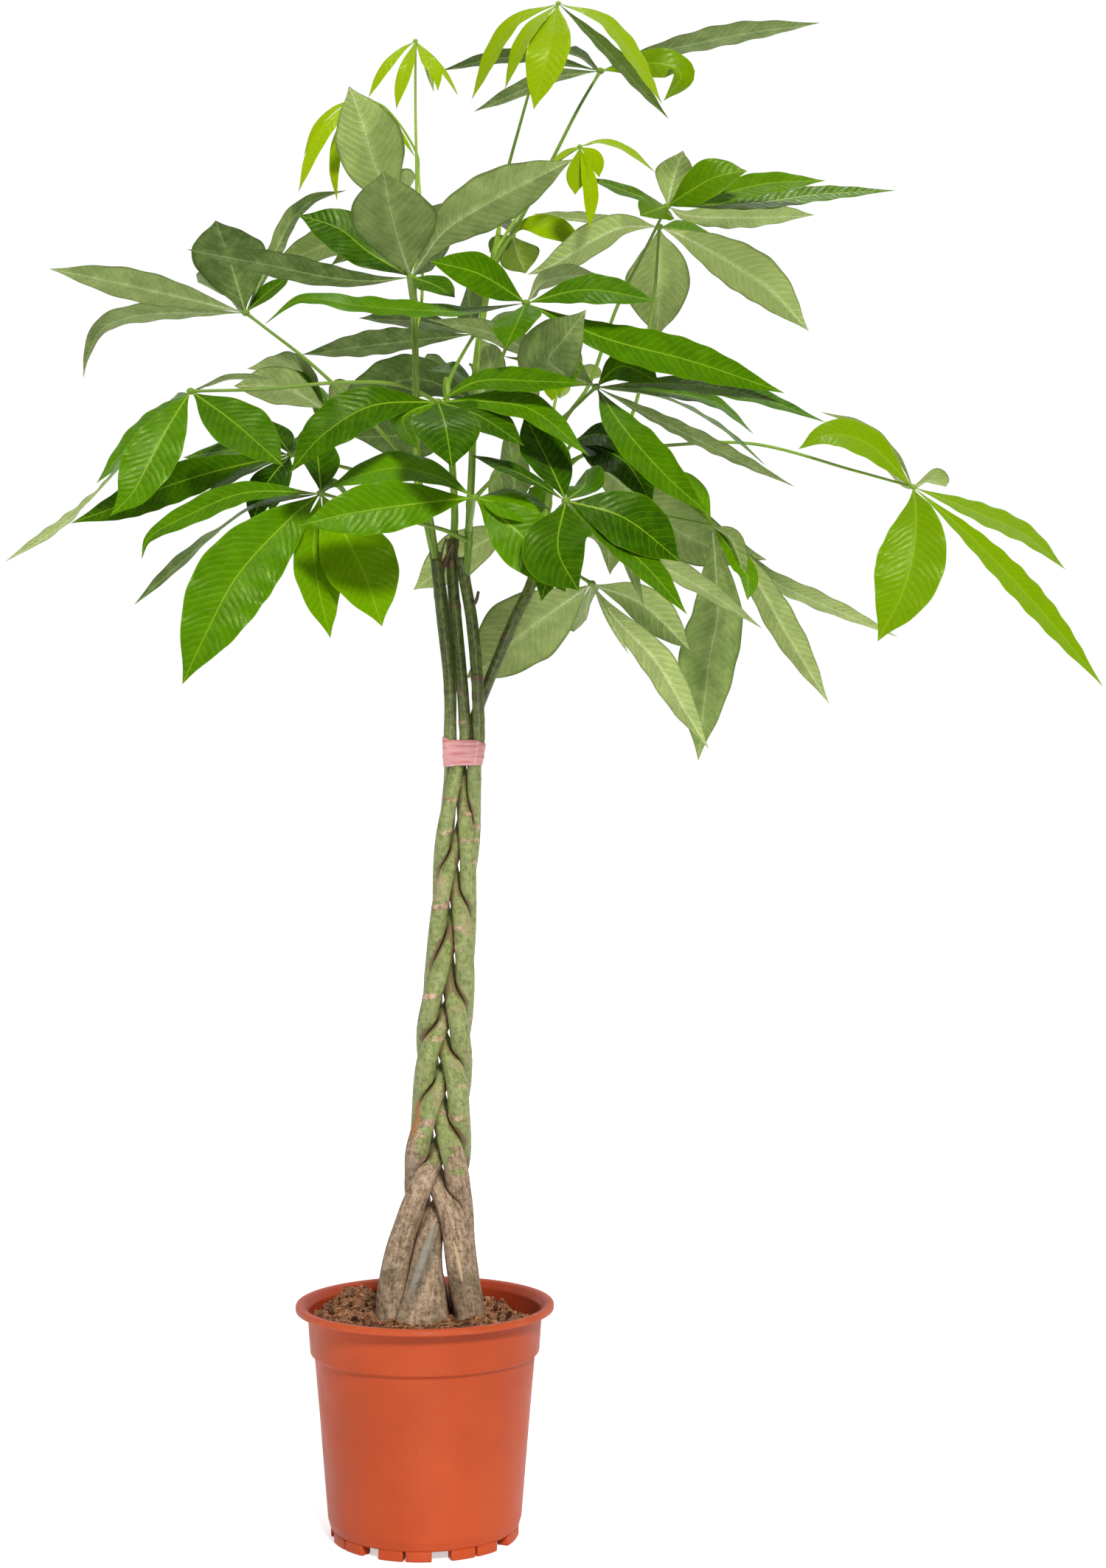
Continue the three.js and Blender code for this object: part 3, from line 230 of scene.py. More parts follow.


# The upper, under and tone values set each face's brightness: partly its own green, and partly painted light and
# shade, lower for leaflets in the crown's shade and higher for undersides that light shines through.
LEAVES = {
    "leaf_01": grown(
        "stem_1", 985, [(-25, 1008, 10), (-70, 1055, 25), (-110, 1092, 35), (-150, 1123, 40)], (-167, 1136, 40),
        leaflet(40, -0.75, (-216, 1148, 33), (-264, 1159, 26), (-319, 1171, 16), (-350, 1177, 10), tone=0.6),
        leaflet(40, -0.45, (-257, 1135, 65), (-299, 1123, 78), (-314, 1097, 86), (-318, 1075, 90)),
        leaflet(72, -0.95, (-181, 1183, 20), (-195, 1222, -20), tone=0.15),
        leaflet(26, -0.6, (-138, 1196, 72), (-123, 1225, 90), (-103, 1242, 100), (-73, 1250, 108)),
        leaflet(30, 0.5, (-145, 1156, 48), (-126, 1170, 58)),
        leaflet(48, -0.3, (-188, 1155, 100), (-212, 1165, 165), tone=0.15),
        upper=0.45, under=0.35, youth=0,
    ),
    "leaf_02": grown(
        "stem_1", 1144, [(-12, 1162, -30)], (-13, 1169, -45),
        leaflet(36, -0.65, (-52, 1166, -60), (-93, 1170, -72), (-141, 1180, -82), (-222, 1195, -75), tone=0.15),
        leaflet(80, -0.95, (-22, 1195, -60), (-32, 1232, -88), (-39, 1268, -115), tone=0.36),
        leaflet(54, -0.9, (16, 1210, -62), (58, 1238, -74), (100, 1260, -86), (138, 1279, -95), tone=0.5),
        leaflet(50, 0.85, (-52, 1192, -30), (-80, 1214, -15), (-118, 1227, 0), tone=0.3),
        leaflet(28, 0.7, (8, 1162, -75), (28, 1150, -100)),
        leaflet(45, -0.5, (15, 1200, 0), (36, 1226, 35), tone=0.2),
        upper=0.45, under=0.55, youth=0,
    ),
    "leaf_03": grown(
        "stem_1", 1130, [(-14, 1158, 20), (-20, 1200, 50)], (-24, 1228, 60),
        leaflet(68, -0.95, (-45, 1270, 50), (-58, 1312, 35), (-71, 1347, 20), tone=1),
        leaflet(44, -0.7, (-60, 1212, 75), (-95, 1199, 90), (-145, 1178, 98), tone=0.6),
        leaflet(46, -0.5, (8, 1226, 92), (40, 1220, 125), tone=0.25),
        leaflet(50, -0.4, (-20, 1245, 120), (-15, 1250, 185), tone=0.85),
        leaflet(36, -0.6, (-50, 1203, 110), (-88, 1180, 138), tone=0.05),
        upper=0.6, under=0.95, youth=0.2,
    ),
    "leaf_04": grown(
        "stem_3", 1022, [(54, 1046, -30), (75, 1103, -65)], (94, 1145, -90),
        leaflet(40, 0.85, (50, 1172, -125), (4, 1184, -135)),
        leaflet(42, 0.35, (30, 1137, -115), (-60, 1142, -125), (-115, 1148, -115), (-150, 1125, -110), tone=0.75),
        leaflet(40, 0.65, (150, 1157, -110), (215, 1147, -120)),
        leaflet(46, 0.75, (85, 1125, -130), (75, 1103, -150)),
        leaflet(44, 0.8, (165, 1113, -110), (250, 1090, -105), (335, 1061, -100)),
        leaflet(35, -0.5, (112, 1166, -70), (158, 1173, -45)),
        upper=0.6, under=0.45, youth=0,
    ),
    "leaf_05": grown(
        "stem_3", 958, [(60, 978, -15), (95, 1012, -30), (130, 1040, -45)], (159, 1067, -60),
        leaflet(36, 0.45, (225, 1070, -80), (300, 1060, -92), (373, 1034, -95)),
        leaflet(36, 0.8, (182, 1086, -70), (218, 1071, -85)),
        leaflet(34, 0.35, (220, 1062, -50), (270, 1052, -40), (306, 1023, -30)),
        leaflet(30, (-0.2, 0.3), (225, 1056, -20), (275, 1029, 0), (317, 994, 15)),
        leaflet(34, -0.4, (200, 1045, -85), (260, 1015, -100), (344, 974, -110), tone=0.34),
        leaflet(46, 0.75, (186, 1027, -110), (223, 985, -130), (264, 948, -135)),
        leaflet(34, -0.6, (105, 1097, -50), (60, 1118, -45), (2, 1130, -40), tone=0.43),
        leaflet(30, 0.15, (115, 1084, -62), (72, 1096, -66)),
        leaflet(60, -0.9, (116, 1090, -115), (130, 1112, -150), (150, 1139, -170)),
        upper=0.5, under=0.3, youth=0,
    ),
    "leaf_06": grown(
        "stem_2", 1072, [(28, 1085, 45), (38, 1103, 55)], (46, 1116, 60),
        leaflet(44, -0.55, (0, 1112, 60), (-60, 1105, 50), (-115, 1097, 40), tone=0.05),
        leaflet(40, -0.45, (-5, 1128, 85), (-62, 1131, 100), tone=0.1),
        leaflet(50, -0.6, (42, 1140, 85), (40, 1165, 110), tone=0.02),
        leaflet(40, -0.5, (70, 1125, 95), (95, 1125, 135)),
        upper=0.45, under=0.4, youth=0,
    ),
    "leaf_07": grown(
        "stem_2", 1030, [(35, 1035, 75)], (50, 1052, 120),
        leaflet(60, -0.75, (-10, 1075, 120), (-88, 1046, 110), tone=0.05),
        leaflet(55, -0.7, (60, 1085, 130), (54, 1111, 120)),
        leaflet(50, -0.6, (85, 1060, 140), (97, 1052, 165)),
        leaflet(50, -0.5, (20, 1075, 165), (0, 1085, 225), tone=0.05, young=0.3),
        leaflet(34, 0.35, (30, 1080, 85), (1, 1082, 72), tone=0.15),
        leaflet(60, -0.9, (-10, 1025, 125), (-66, 1020, 135), tone=0.05),
        upper=0.3, under=0.5, youth=0,
    ),
    "leaf_08": grown(
        "stem_2", 1012, [(20, 1030, -30), (16, 1046, -80)], (12, 1053, -130),
        leaflet(52, 0.75, (-50, 1049, -150), (-95, 1022, -160), (-126, 987, -165)),
        leaflet(36, 0.6, (50, 1072, -135), (100, 1072, -140), (150, 1070, -145), tone=0.6),
        leaflet(60, 0.97, (19, 1030, -175), (25, 992, -200)),
        leaflet(34, 0.6, (-20, 1038, -150), (-6, 1008, -150), tone=0.8),
        leaflet(40, 0.6, (60, 1053, -140), (100, 1045, -145), (152, 1003, -140), tone=0.8),
        leaflet(44, 0.6, (50, 1040, -155), (92, 1012, -170)),
        upper=0.3, under=0.3, youth=0,
    ),
    "leaf_09": grown(
        "stem_1", 1160, [(-9, 1180, -12), (-8, 1260, -8), (-9, 1330, -10)], (-9, 1389, -15),
        leaflet(11, 0.8, (-22, 1380, -22), (-38, 1362, -27), (-53, 1336, -30)),
        leaflet(14, 0.9, (-17, 1365, -33), (-23, 1345, -38), (-27, 1325, -40)),
        leaflet(12, -0.7, (2, 1368, 15), (8, 1341, 22)),
        leaflet(15, 0.85, (2, 1372, -28), (10, 1358, -38), (12, 1342, -42)),
        leaflet(8, 0.6, (8, 1372, -12), (20, 1356, -14), (31, 1338, -15)),
        upper=0.9, under=0.9, youth=0.9,
    ),
    "leaf_10": grown(
        "stem_3", 1209, [(74, 1256, 5), (88, 1310, 0), (104, 1365, -10)], (124, 1424, -20),
        leaflet(24, 0.6, (80, 1404, -30), (43, 1334, -35), tone=0.5),
        leaflet(22, 0.6, (95, 1395, -45), (74, 1344, -55)),
        leaflet(40, 0.95, (115, 1380, -60), (101, 1325, -70)),
        leaflet(30, 0.5, (170, 1405, -25), (221, 1330, -30)),
        leaflet(28, -0.5, (170, 1380, 10), (227, 1316, 20), tone=0.05, young=0.3),
        leaflet(30, -0.6, (118, 1390, -5), (112, 1348, 5)),
        upper=0.7, under=0.7, youth=0.8,
    ),
    "leaf_11": grown(
        "stem_3", 1183, [(88, 1222, 22), (116, 1274, 32), (142, 1325, 42)], (163, 1361, 50),
        leaflet(28, -0.5, (100, 1374, 45), (60, 1372, 45), (14, 1361, 40), tone=0.05),
        leaflet(26, -0.6, (125, 1357, 70), (100, 1348, 80), (45, 1323, 90)),
        leaflet(40, -0.5, (205, 1376, 55), (247, 1386, 55), (296, 1396, 50), (368, 1406, 40), tone=0.37),
        leaflet(34, 0.8, (215, 1368, 25), (238, 1358, 15), (222, 1333, 5), tone=0.7, young=0.35),
        leaflet(24, -0.4, (145, 1375, 90), (125, 1380, 115), tone=0.05),
        upper=0.4, under=0.3, youth=0,
    ),
    "leaf_12": grown(
        "stem_1", 1112,
        [(-3, 1150, 0), (-4, 1230, 10), (-6, 1262, 40), (-9, 1287, 75), (-36, 1326, 84)],
        (-60, 1337, 80),
        leaflet(9, 0.7, (-85, 1325, 78), (-102, 1307, 78), (-113, 1282, 78)),
        leaflet(15, 0.85, (-82, 1318, 65), (-102, 1290, 60), (-118, 1248, 55)),
        leaflet(14, 0.8, (-78, 1305, 76), (-84, 1272, 73), (-82, 1240, 70)),
        leaflet(9, 0.7, (-40, 1324, 85), (-24, 1303, 90), (-9, 1281, 97)),
        upper=0.9, under=0.9, youth=1,
    ),
    "leaf_13": grown(
        "stem_3", 1196, [(92, 1235, 5), (116, 1270, -8)], (144, 1291, -15),
        leaflet(25, 0.85, (143, 1269, -20), (139.5, 1245.6, -25)),
        leaflet(18, 0.8, (153, 1255, -28), (153, 1214.5, -35), tone=0.5),
        leaflet(20, 0.75, (157, 1279, -10), (162, 1262, -8)),
        leaflet(12, 0.45, (130, 1284, -10), (116, 1273.5, -12)),
        leaflet(16, 0.4, (165, 1295, -5), (187, 1288, 0), (214, 1267, 5)),
        upper=0.8, under=0.8, youth=0.9,
    ),
    "leaf_14": grown(
        "stem_4", 1004, [(130, 1036, 5), (152, 1068, 0), (178, 1140, -5), (205, 1195, -8)], (225, 1235, -10),
        leaflet(24, 0.45, (186, 1249, 0), (152, 1262, 5), tone=0.2),
        leaflet(40, -0.85, (231, 1261, -8), (240, 1287, -22)),
        leaflet(46, 0.75, (245, 1248, -28), (270, 1262, -38), (300, 1268, -44), tone=0.7),
        leaflet(34, 0.6, (275, 1246, -18), (317, 1256, -14), (373, 1259, -10), tone=0.7),
        leaflet(32, 0.5, (270, 1236, 8), (317, 1239, 18), (366, 1246, 28), (438, 1250, 34)),
        leaflet(44, -0.55, (245, 1227, 18), (296, 1225, 48), (363, 1227, 78), tone=0.9),
        leaflet(36, 0.8, (215, 1232, -50), (200, 1226, -80)),
        upper=0.5, under=0.55, youth=0.1,
    ),
    "leaf_15": grown(
        "stem_4", 988,
        [(140, 1000, 25), (180, 1020, 35), (197, 1055, 42), (208, 1120, 45), (214, 1160, 45)],
        (218, 1216, 40),
        leaflet(30, 0.6, (248, 1211, 68), (270, 1207, 90)),
        leaflet(52, -0.85, (247, 1204, 50), (286, 1182, 58), (318, 1160, 62), (357, 1119, 66), tone=1),
        leaflet(66, -0.95, (217, 1168, 78), (216, 1113, 92), tone=1),
        leaflet(40, -0.75, (184.6, 1216, 15), (150.3, 1200, 2), (119.9, 1181, -6), (95.2, 1171.4, -10), tone=1),
        leaflet(30, -0.35, (160, 1222, 70), (100, 1228, 95), tone=0.9),
        upper=0.6, under=0.9, youth=0.1,
    ),
    "leaf_16": grown(
        "stem_2", 1052, [(-20, 1068, 15), (-80, 1071, 0), (-150, 1065, -10)], (-218, 1063, -20),
        leaflet(52, 0.9, (-240, 1028, -45), (-258, 994, -62), (-273, 967, -72), (-293, 947, -75), tone=0.8),
        leaflet(42, (0.55, -0.55), (-270, 1008, -12), (-330, 945, 2), (-391, 904, 10), tone=0.9),
        leaflet(56, 0.85, (-178, 1034, -50), (-132, 993, -75), tone=0.55),
        leaflet(40, 0.5, (-265, 1022, 20), (-306, 977, 40)),
        leaflet(30, -0.2, (-180, 1075, 10), (-140, 1074, 25)),
        leaflet(45, 0.3, (-240, 1035, 40), (-255, 1005, 85)),
        upper=0.8, under=0.5, youth=0,
    ),
    "leaf_17": grown(
        "stem_5", 968, [(-50, 985, 25)], (-125, 1004, 15),
        leaflet(44, 0.85, (-189, 990, 30), (-244, 973, 45), (-285, 956, 60), (-330, 940, 70), tone=0.4),
        leaflet(26, 0.3, (-170, 986, 5), (-212, 961, -5)),
        leaflet(36, 0.8, (-148, 975, -12), (-161, 938, -22), tone=0.05),
        leaflet(30, 0.6, (-135, 975, -2), (-145, 948, -5), tone=0.5),
        leaflet(36, 0.7, (-138, 1022, 30), (-148, 1038, 45)),
        leaflet(32, 0.6, (-175, 1008, 60), (-226, 1001, 90), tone=0.45),
        leaflet(40, 0.5, (-108, 1016, 45), (-95, 1026, 75), tone=0),
        upper=0.25, under=0.3, youth=0,
    ),
    "leaf_18": grown(
        "stem_3", 922, [(20, 933, -22), (-5, 940, -28), (-50, 955, -60)], (-97, 968, -90),
        leaflet(70, 0.95, (-125, 945, -120), (-174, 892, -142), (-204, 837, -160), (-226, 790, -170)),
        leaflet(34, 0.65, (-168, 968, -75), (-223, 946, -72), (-257, 926, -70), (-264, 906, -68)),
        leaflet(34, (0.6, -0.75), (-158, 956, -55), (-189, 936, -45), (-230, 902, -38), (-271, 864, -35), tone=0.02),
        # Painted light: these two leaflets' tone and young are raised to brighten them where the leaflets above
        # shade them.
        leaflet(46, 0.85, (-104, 920, -106), (-99, 878, -118), (-88, 833, -125), tone=1, young=0.12),
        leaflet(68, 0.95, (-75, 930, -102), (-56, 891, -110), (-40, 844, -118), tone=1, young=0.16),
        leaflet(46, 0.8, (-100, 1000, -75), (-106, 1035, -60), tone=0.15),
        leaflet(20, 0.5, (-85, 975, -65), (-70, 966, -35)),
        upper=0.75, under=0.35, youth=0,
    ),
    "leaf_19": grown(
        "stem_3", 932, [(44, 950, -60)], (46, 964, -140),
        leaflet(50, 0.9, (-10, 958, -155), (-70, 949, -160), (-117, 938, -160)),
        leaflet(44, 0.6, (10, 984, -135), (-32, 991, -130), (-90, 974, -130), tone=1),
        leaflet(56, 0.95, (90, 928, -165), (131, 876, -180)),
        leaflet(26, 0.35, (85, 966, -130), (118, 952, -125)),
        leaflet(34, 0.7, (80, 955, -150), (112, 941, -155), tone=1),
        upper=0.8, under=0.4, youth=0,
    ),
    "leaf_20": grown(
        "stem_4", 918, [(118, 945, -60)], (131, 961, -150),
        leaflet(64, 0.95, (124, 915, -195), (143, 877, -215)),
        leaflet(26, 0.45, (90, 985, -150), (42, 1004, -150), tone=0.1),
        leaflet(48, 0.8, (113, 1000, -125), (92, 1041, -110), tone=0.2),
        leaflet(40, 0.7, (148, 975, -125), (150, 990, -95)),
        leaflet(58, 0.85, (185, 945, -165), (238, 904, -170), tone=0.17),
        leaflet(38, -0.5, (195, 915, -140), (255, 882, -130), (314, 842, -125), tone=0.55),
        leaflet(40, -0.7, (168, 925, -100), (172, 892, -75)),
        leaflet(40, 0.8, (118, 905, -135), (108, 867, -135)),
        leaflet(26, -0.5, (180, 920, -120), (204, 862, -105)),
        leaflet(36, 0.7, (200, 905, -180), (244, 855, -190), tone=0.6),
        upper=0.35, under=0.35, youth=0,
    ),
    "leaf_21": grown(
        "stem_4", 974, [(150, 1005, 18), (217, 1012, 28), (305, 1014, 32), (400, 989, 18)], (454, 974, 0),
        leaflet(64, 0.97, (457, 949, -28), (454, 912, -50), (444, 875, -62), (421, 830, -66), tone=1, young=0.3),
        leaflet(40, 0.5, (520, 947, 0), (560, 928, 0), (596, 897, 0)),
        leaflet(40, 0.6, (510, 925, -20), (570, 862, -30), (631, 788, -30)),
        leaflet(44, 0.65, (410, 1015, -10), (375, 1022, -15), (347, 1009, -20)),
        leaflet(30, -0.25, (440, 1000, 20), (410, 1028, 30), (368, 1044, 40)),
        leaflet(34, -0.45, (470, 980, 50), (485, 974, 85)),
        leaflet(24, -0.4, (440, 982, 30), (427, 992, 45)),
        upper=0.95, under=0.7, youth=0.4,
    ),
    "leaf_22": grown(
        "stem_4", 932, [(150, 945, -15), (210, 948, -28)], (267, 938, -35),
        leaflet(38, -0.75, (300, 900, -20), (336, 838, -5), (376, 772, 5), tone=0.75),
        leaflet(34, -0.5, (320, 890, 0), (363, 868, 18), (405, 850, 28), (440, 834, 30), tone=0.85),
        leaflet(24, 0.8, (298, 895, -60), (300, 868, -90), tone=0.9),
        leaflet(30, -0.6, (285, 925, -50), (298, 885, -62), tone=0.8),
        leaflet(60, -0.92, (270, 900, -12), (272, 856, 8), (264, 812, 28), (254, 719, 48), tone=0.3),
        leaflet(36, 0.6, (250, 968, -40), (228, 990, -45), tone=1),
        upper=0.5, under=0.6, youth=0.05,
    ),
    "leaf_23": grown(
        "stem_4", 904, [(130, 898, 8)], (155, 884, 0),
        leaflet(76, -0.92, (118, 858, 18), (88, 836, 32), (62, 812, 42), (38, 796, 46)),
        leaflet(38, -0.8, (174, 856, -8), (215, 811, -12), (243, 764, -12), (264, 730, -8), tone=0.8),
        leaflet(42, -0.85, (200, 866, -5), (247, 822, -8), tone=0.8),
        leaflet(6, -1, (172, 850, -25), (190, 817, -30)),
        leaflet(50, -0.5, (150, 862, 60), (150, 850, 120)),
        upper=0.5, under=0.55, youth=0,
    ),
    "leaf_24": grown(
        "stem_4", 946, [(100, 945, 50)], (85, 940, 90),
        leaflet(52, -0.85, (40, 915, 95), (-11, 878, 95), tone=0.8),
        leaflet(55, -0.8, (78, 975, 110), (85, 1005, 105), tone=0.35),
        leaflet(35, -0.8, (82, 995, 75), (76, 1030, 65), tone=0.15),
        leaflet(40, 0.6, (105, 962, 70), (118, 984, 70), tone=1),
        leaflet(50, -0.4, (90, 945, 140), (100, 930, 200), tone=0.5, young=0.4),
        upper=0.5, under=0.6, youth=0,
    ),
    "leaf_25": grown(
        "stem_4", 960, [(122, 990, 5)], (138, 1017, -10),
        leaflet(62, -0.9, (185, 975, 5), (250, 925, 25), (318, 906, 35), tone=0.45),
        leaflet(52, 0.8, (185, 998, -60), (212, 957, -80), tone=0),
        leaflet(40, 0.6, (165, 1022, -35), (200, 1003, -40), tone=0),
        leaflet(30, 0.5, (148, 1008, -40), (153, 1002, -60)),
        upper=0.3, under=0.3, youth=0,
    ),
    "leaf_26": grown(
        "stem_2", 1042, [(-30, 1052, 70)], (-91, 1045, 85),
        leaflet(46, -0.8, (-130, 1066, 80), (-178, 1068, 75), tone=0.8),
        leaflet(30, 0.35, (-115, 1075, 108), (-162, 1079, 120)),
        leaflet(48, -0.5, (-120, 1082, 135), (-166, 1084, 160)),
        leaflet(46, -0.4, (-85, 1055, 150), (-80, 1045, 200)),
        upper=0.65, under=0.6, youth=0,
    ),
    "leaf_27": grown(
        "stem_4", 1024, [(120, 1048, 45)], (128, 1080, 70),
        leaflet(26, 0.8, (122, 1068, 60), (118, 1054, 55), tone=1),
        leaflet(24, -0.7, (128, 1068, 72), (125, 1056, 75), tone=0.9),
        leaflet(36, -0.5, (145, 1079, 85), (165, 1076, 100)),
        leaflet(36, -0.5, (115, 1081, 110), (105, 1079, 145), tone=0.9),
        upper=0.8, under=0.6, youth=0.5,
    ),
    "leaf_28": grown(
        "stem_3", 1170, [(76, 1200, 32)], (82, 1208, 50),
        leaflet(46, -0.85, (86, 1192, 55), (93.6, 1172.5, 60)),
        leaflet(30, 0.6, (70, 1200, 48), (60, 1192, 46), tone=0.2, young=0.2),
        leaflet(28, 0.8, (92, 1218, 42), (110, 1217, 34), (130, 1209, 27), (148, 1197, 22)),
        leaflet(24, 0.6, (75, 1218, 75), (68, 1222, 95), tone=0.2, young=0.2),
        upper=0.9, under=0.7, youth=0.8,
    ),
}


# Shapes


def unit(vectors):
    """The vectors, each made one long."""
    return vectors / np.maximum(np.linalg.norm(vectors, axis=-1, keepdims=True), 1e-9)


def eased(value, low, high):
    """Nothing below `low`, one above `high`, and a smooth step between them."""
    t = np.clip((value - low) / (high - low), 0, 1)
    return t * t * (3 - 2 * t)


def smooth(knots, rows, at):
    """Smooth curve through rows of numbers: a cubic between knots, with slopes from the chords."""
    knots, rows, at = np.asarray(knots, float), np.asarray(rows, float), np.asarray(at, float)
    place = np.arange(len(knots))
    before, after = np.maximum(place - 1, 0), np.minimum(place + 1, len(knots) - 1)
    slope = (rows[after] - rows[before]) / (knots[after] - knots[before])[:, None]
    value = np.clip(at, knots[0], knots[-1])
    i = np.clip(np.searchsorted(knots, value) - 1, 0, len(knots) - 2)
    step = (knots[i + 1] - knots[i])[..., None]
    t = (value - knots[i])[..., None] / step
    start = (1 + 2 * t) * (1 - t) ** 2 * rows[i] + t * (1 - t) ** 2 * step * slope[i]
    return start + t * t * (3 - 2 * t) * rows[i + 1] + t * t * (t - 1) * step * slope[i + 1]


def seen(points):
    """Points read off in the plane of the pot's axis, moved along their sight lines to their depth."""
    across, up, depth = np.moveaxis(np.asarray(points, float), -1, 0)
    grow = 1 + depth / -EYE[1]
    return np.stack([EYE[0] + (across - EYE[0]) * grow, depth, EYE[2] + (up - EYE[2]) * grow], -1)


def turns(count):
    """The angles of a whole turn in even steps."""
    return 2 * np.pi * np.arange(count) / count


def heading(turn):
    """The points at those angles on a circle of radius one."""
    return np.stack([np.cos(turn), np.sin(turn)], -1)


def raised(outline, height):
    """Points of outlines in the plane, with their heights."""
    return np.concatenate([outline, np.broadcast_to(height, outline.shape[:-1])[..., None]], -1)


def turned(radius, column, columns):
    """Points on circles of the radii, at whole columns of a turn."""
    return np.asarray(radius)[..., None] * heading(2 * np.pi * np.asarray(column) / columns)


def sphere(rows, sides):
    """Points of a ball of radius one: rings from pole to pole, each pole a ring of one point."""
    rise, turn = np.linspace(-np.pi / 2, np.pi / 2, rows + 1)[:, None], turns(sides)
    level = np.cos(rise)
    level[[0, -1]] = 0
    return np.stack(np.broadcast_arrays(level * np.cos(turn), level * np.sin(turn), np.sin(rise)), -1)


class Route:
    """A smooth curve through points, asked by the share of its length from 0 to 1."""

    def __init__(self, points):
        self.rows = np.array(points, float)
        self.knots = np.append(0, np.cumsum(np.linalg.norm(np.diff(self.rows, axis=0), axis=1)))
        self.length = self.knots[-1]

    def at(self, share):
        return smooth(self.knots, self.rows, np.asarray(share) * self.length)

    def along(self, share):
        share = np.asarray(share)
        return unit(self.at(np.minimum(share + 0.01, 1)) - self.at(np.maximum(share - 0.01, 0)))


def chance(cells, seed):
    """A fixed number from 0 to 1 for each cell of whole numbers, mixed by multiplying and folding bits."""
    mixed = (cells.astype(np.int64) @ np.array([73856093, 19349663, 83492791])) ^ (seed * 668265263)
    mixed = (((mixed & 0x7FFFFFFF) ^ (mixed >> 13)) * 1274126177) & 0x7FFFFFFF
    return ((mixed ^ (mixed >> 15)) & 0xFFFF) / 65535


def lumps(points, size, seed):
    """Smooth noise from -1 to 1: fixed numbers at the corners of a grid of `size`, blended between them."""
    place = points / size
    low = np.floor(place)
    t = place - low
    t = t * t * (3 - 2 * t)
    total = 0
    for corner in np.ndindex(2, 2, 2):
        total = total + np.prod(np.where(corner, t, 1 - t), axis=-1) * chance(low + corner, seed)
    return 2 * total - 1


def rounded(corners, reach, steps=4):
    """A line with each inner corner replaced by a curve that starts and ends `reach` from it."""
    corners = np.array(corners, float)
    before, here, after = corners[:-2], corners[1:-1], corners[2:]
    room = np.minimum(np.linalg.norm(before - here, axis=1), np.linalg.norm(after - here, axis=1)) * 0.45
    reach = np.minimum(reach, room)[:, None]
    first, last = here + unit(before - here) * reach, here + unit(after - here) * reach
    t = np.linspace(0, 1, steps)[:, None, None]
    bends = first * (1 - t) ** 2 + here * 2 * t * (1 - t) + last * t * t
    return np.concatenate([corners[:1], bends.transpose(1, 0, 2).reshape(-1, 2), corners[-1:]])


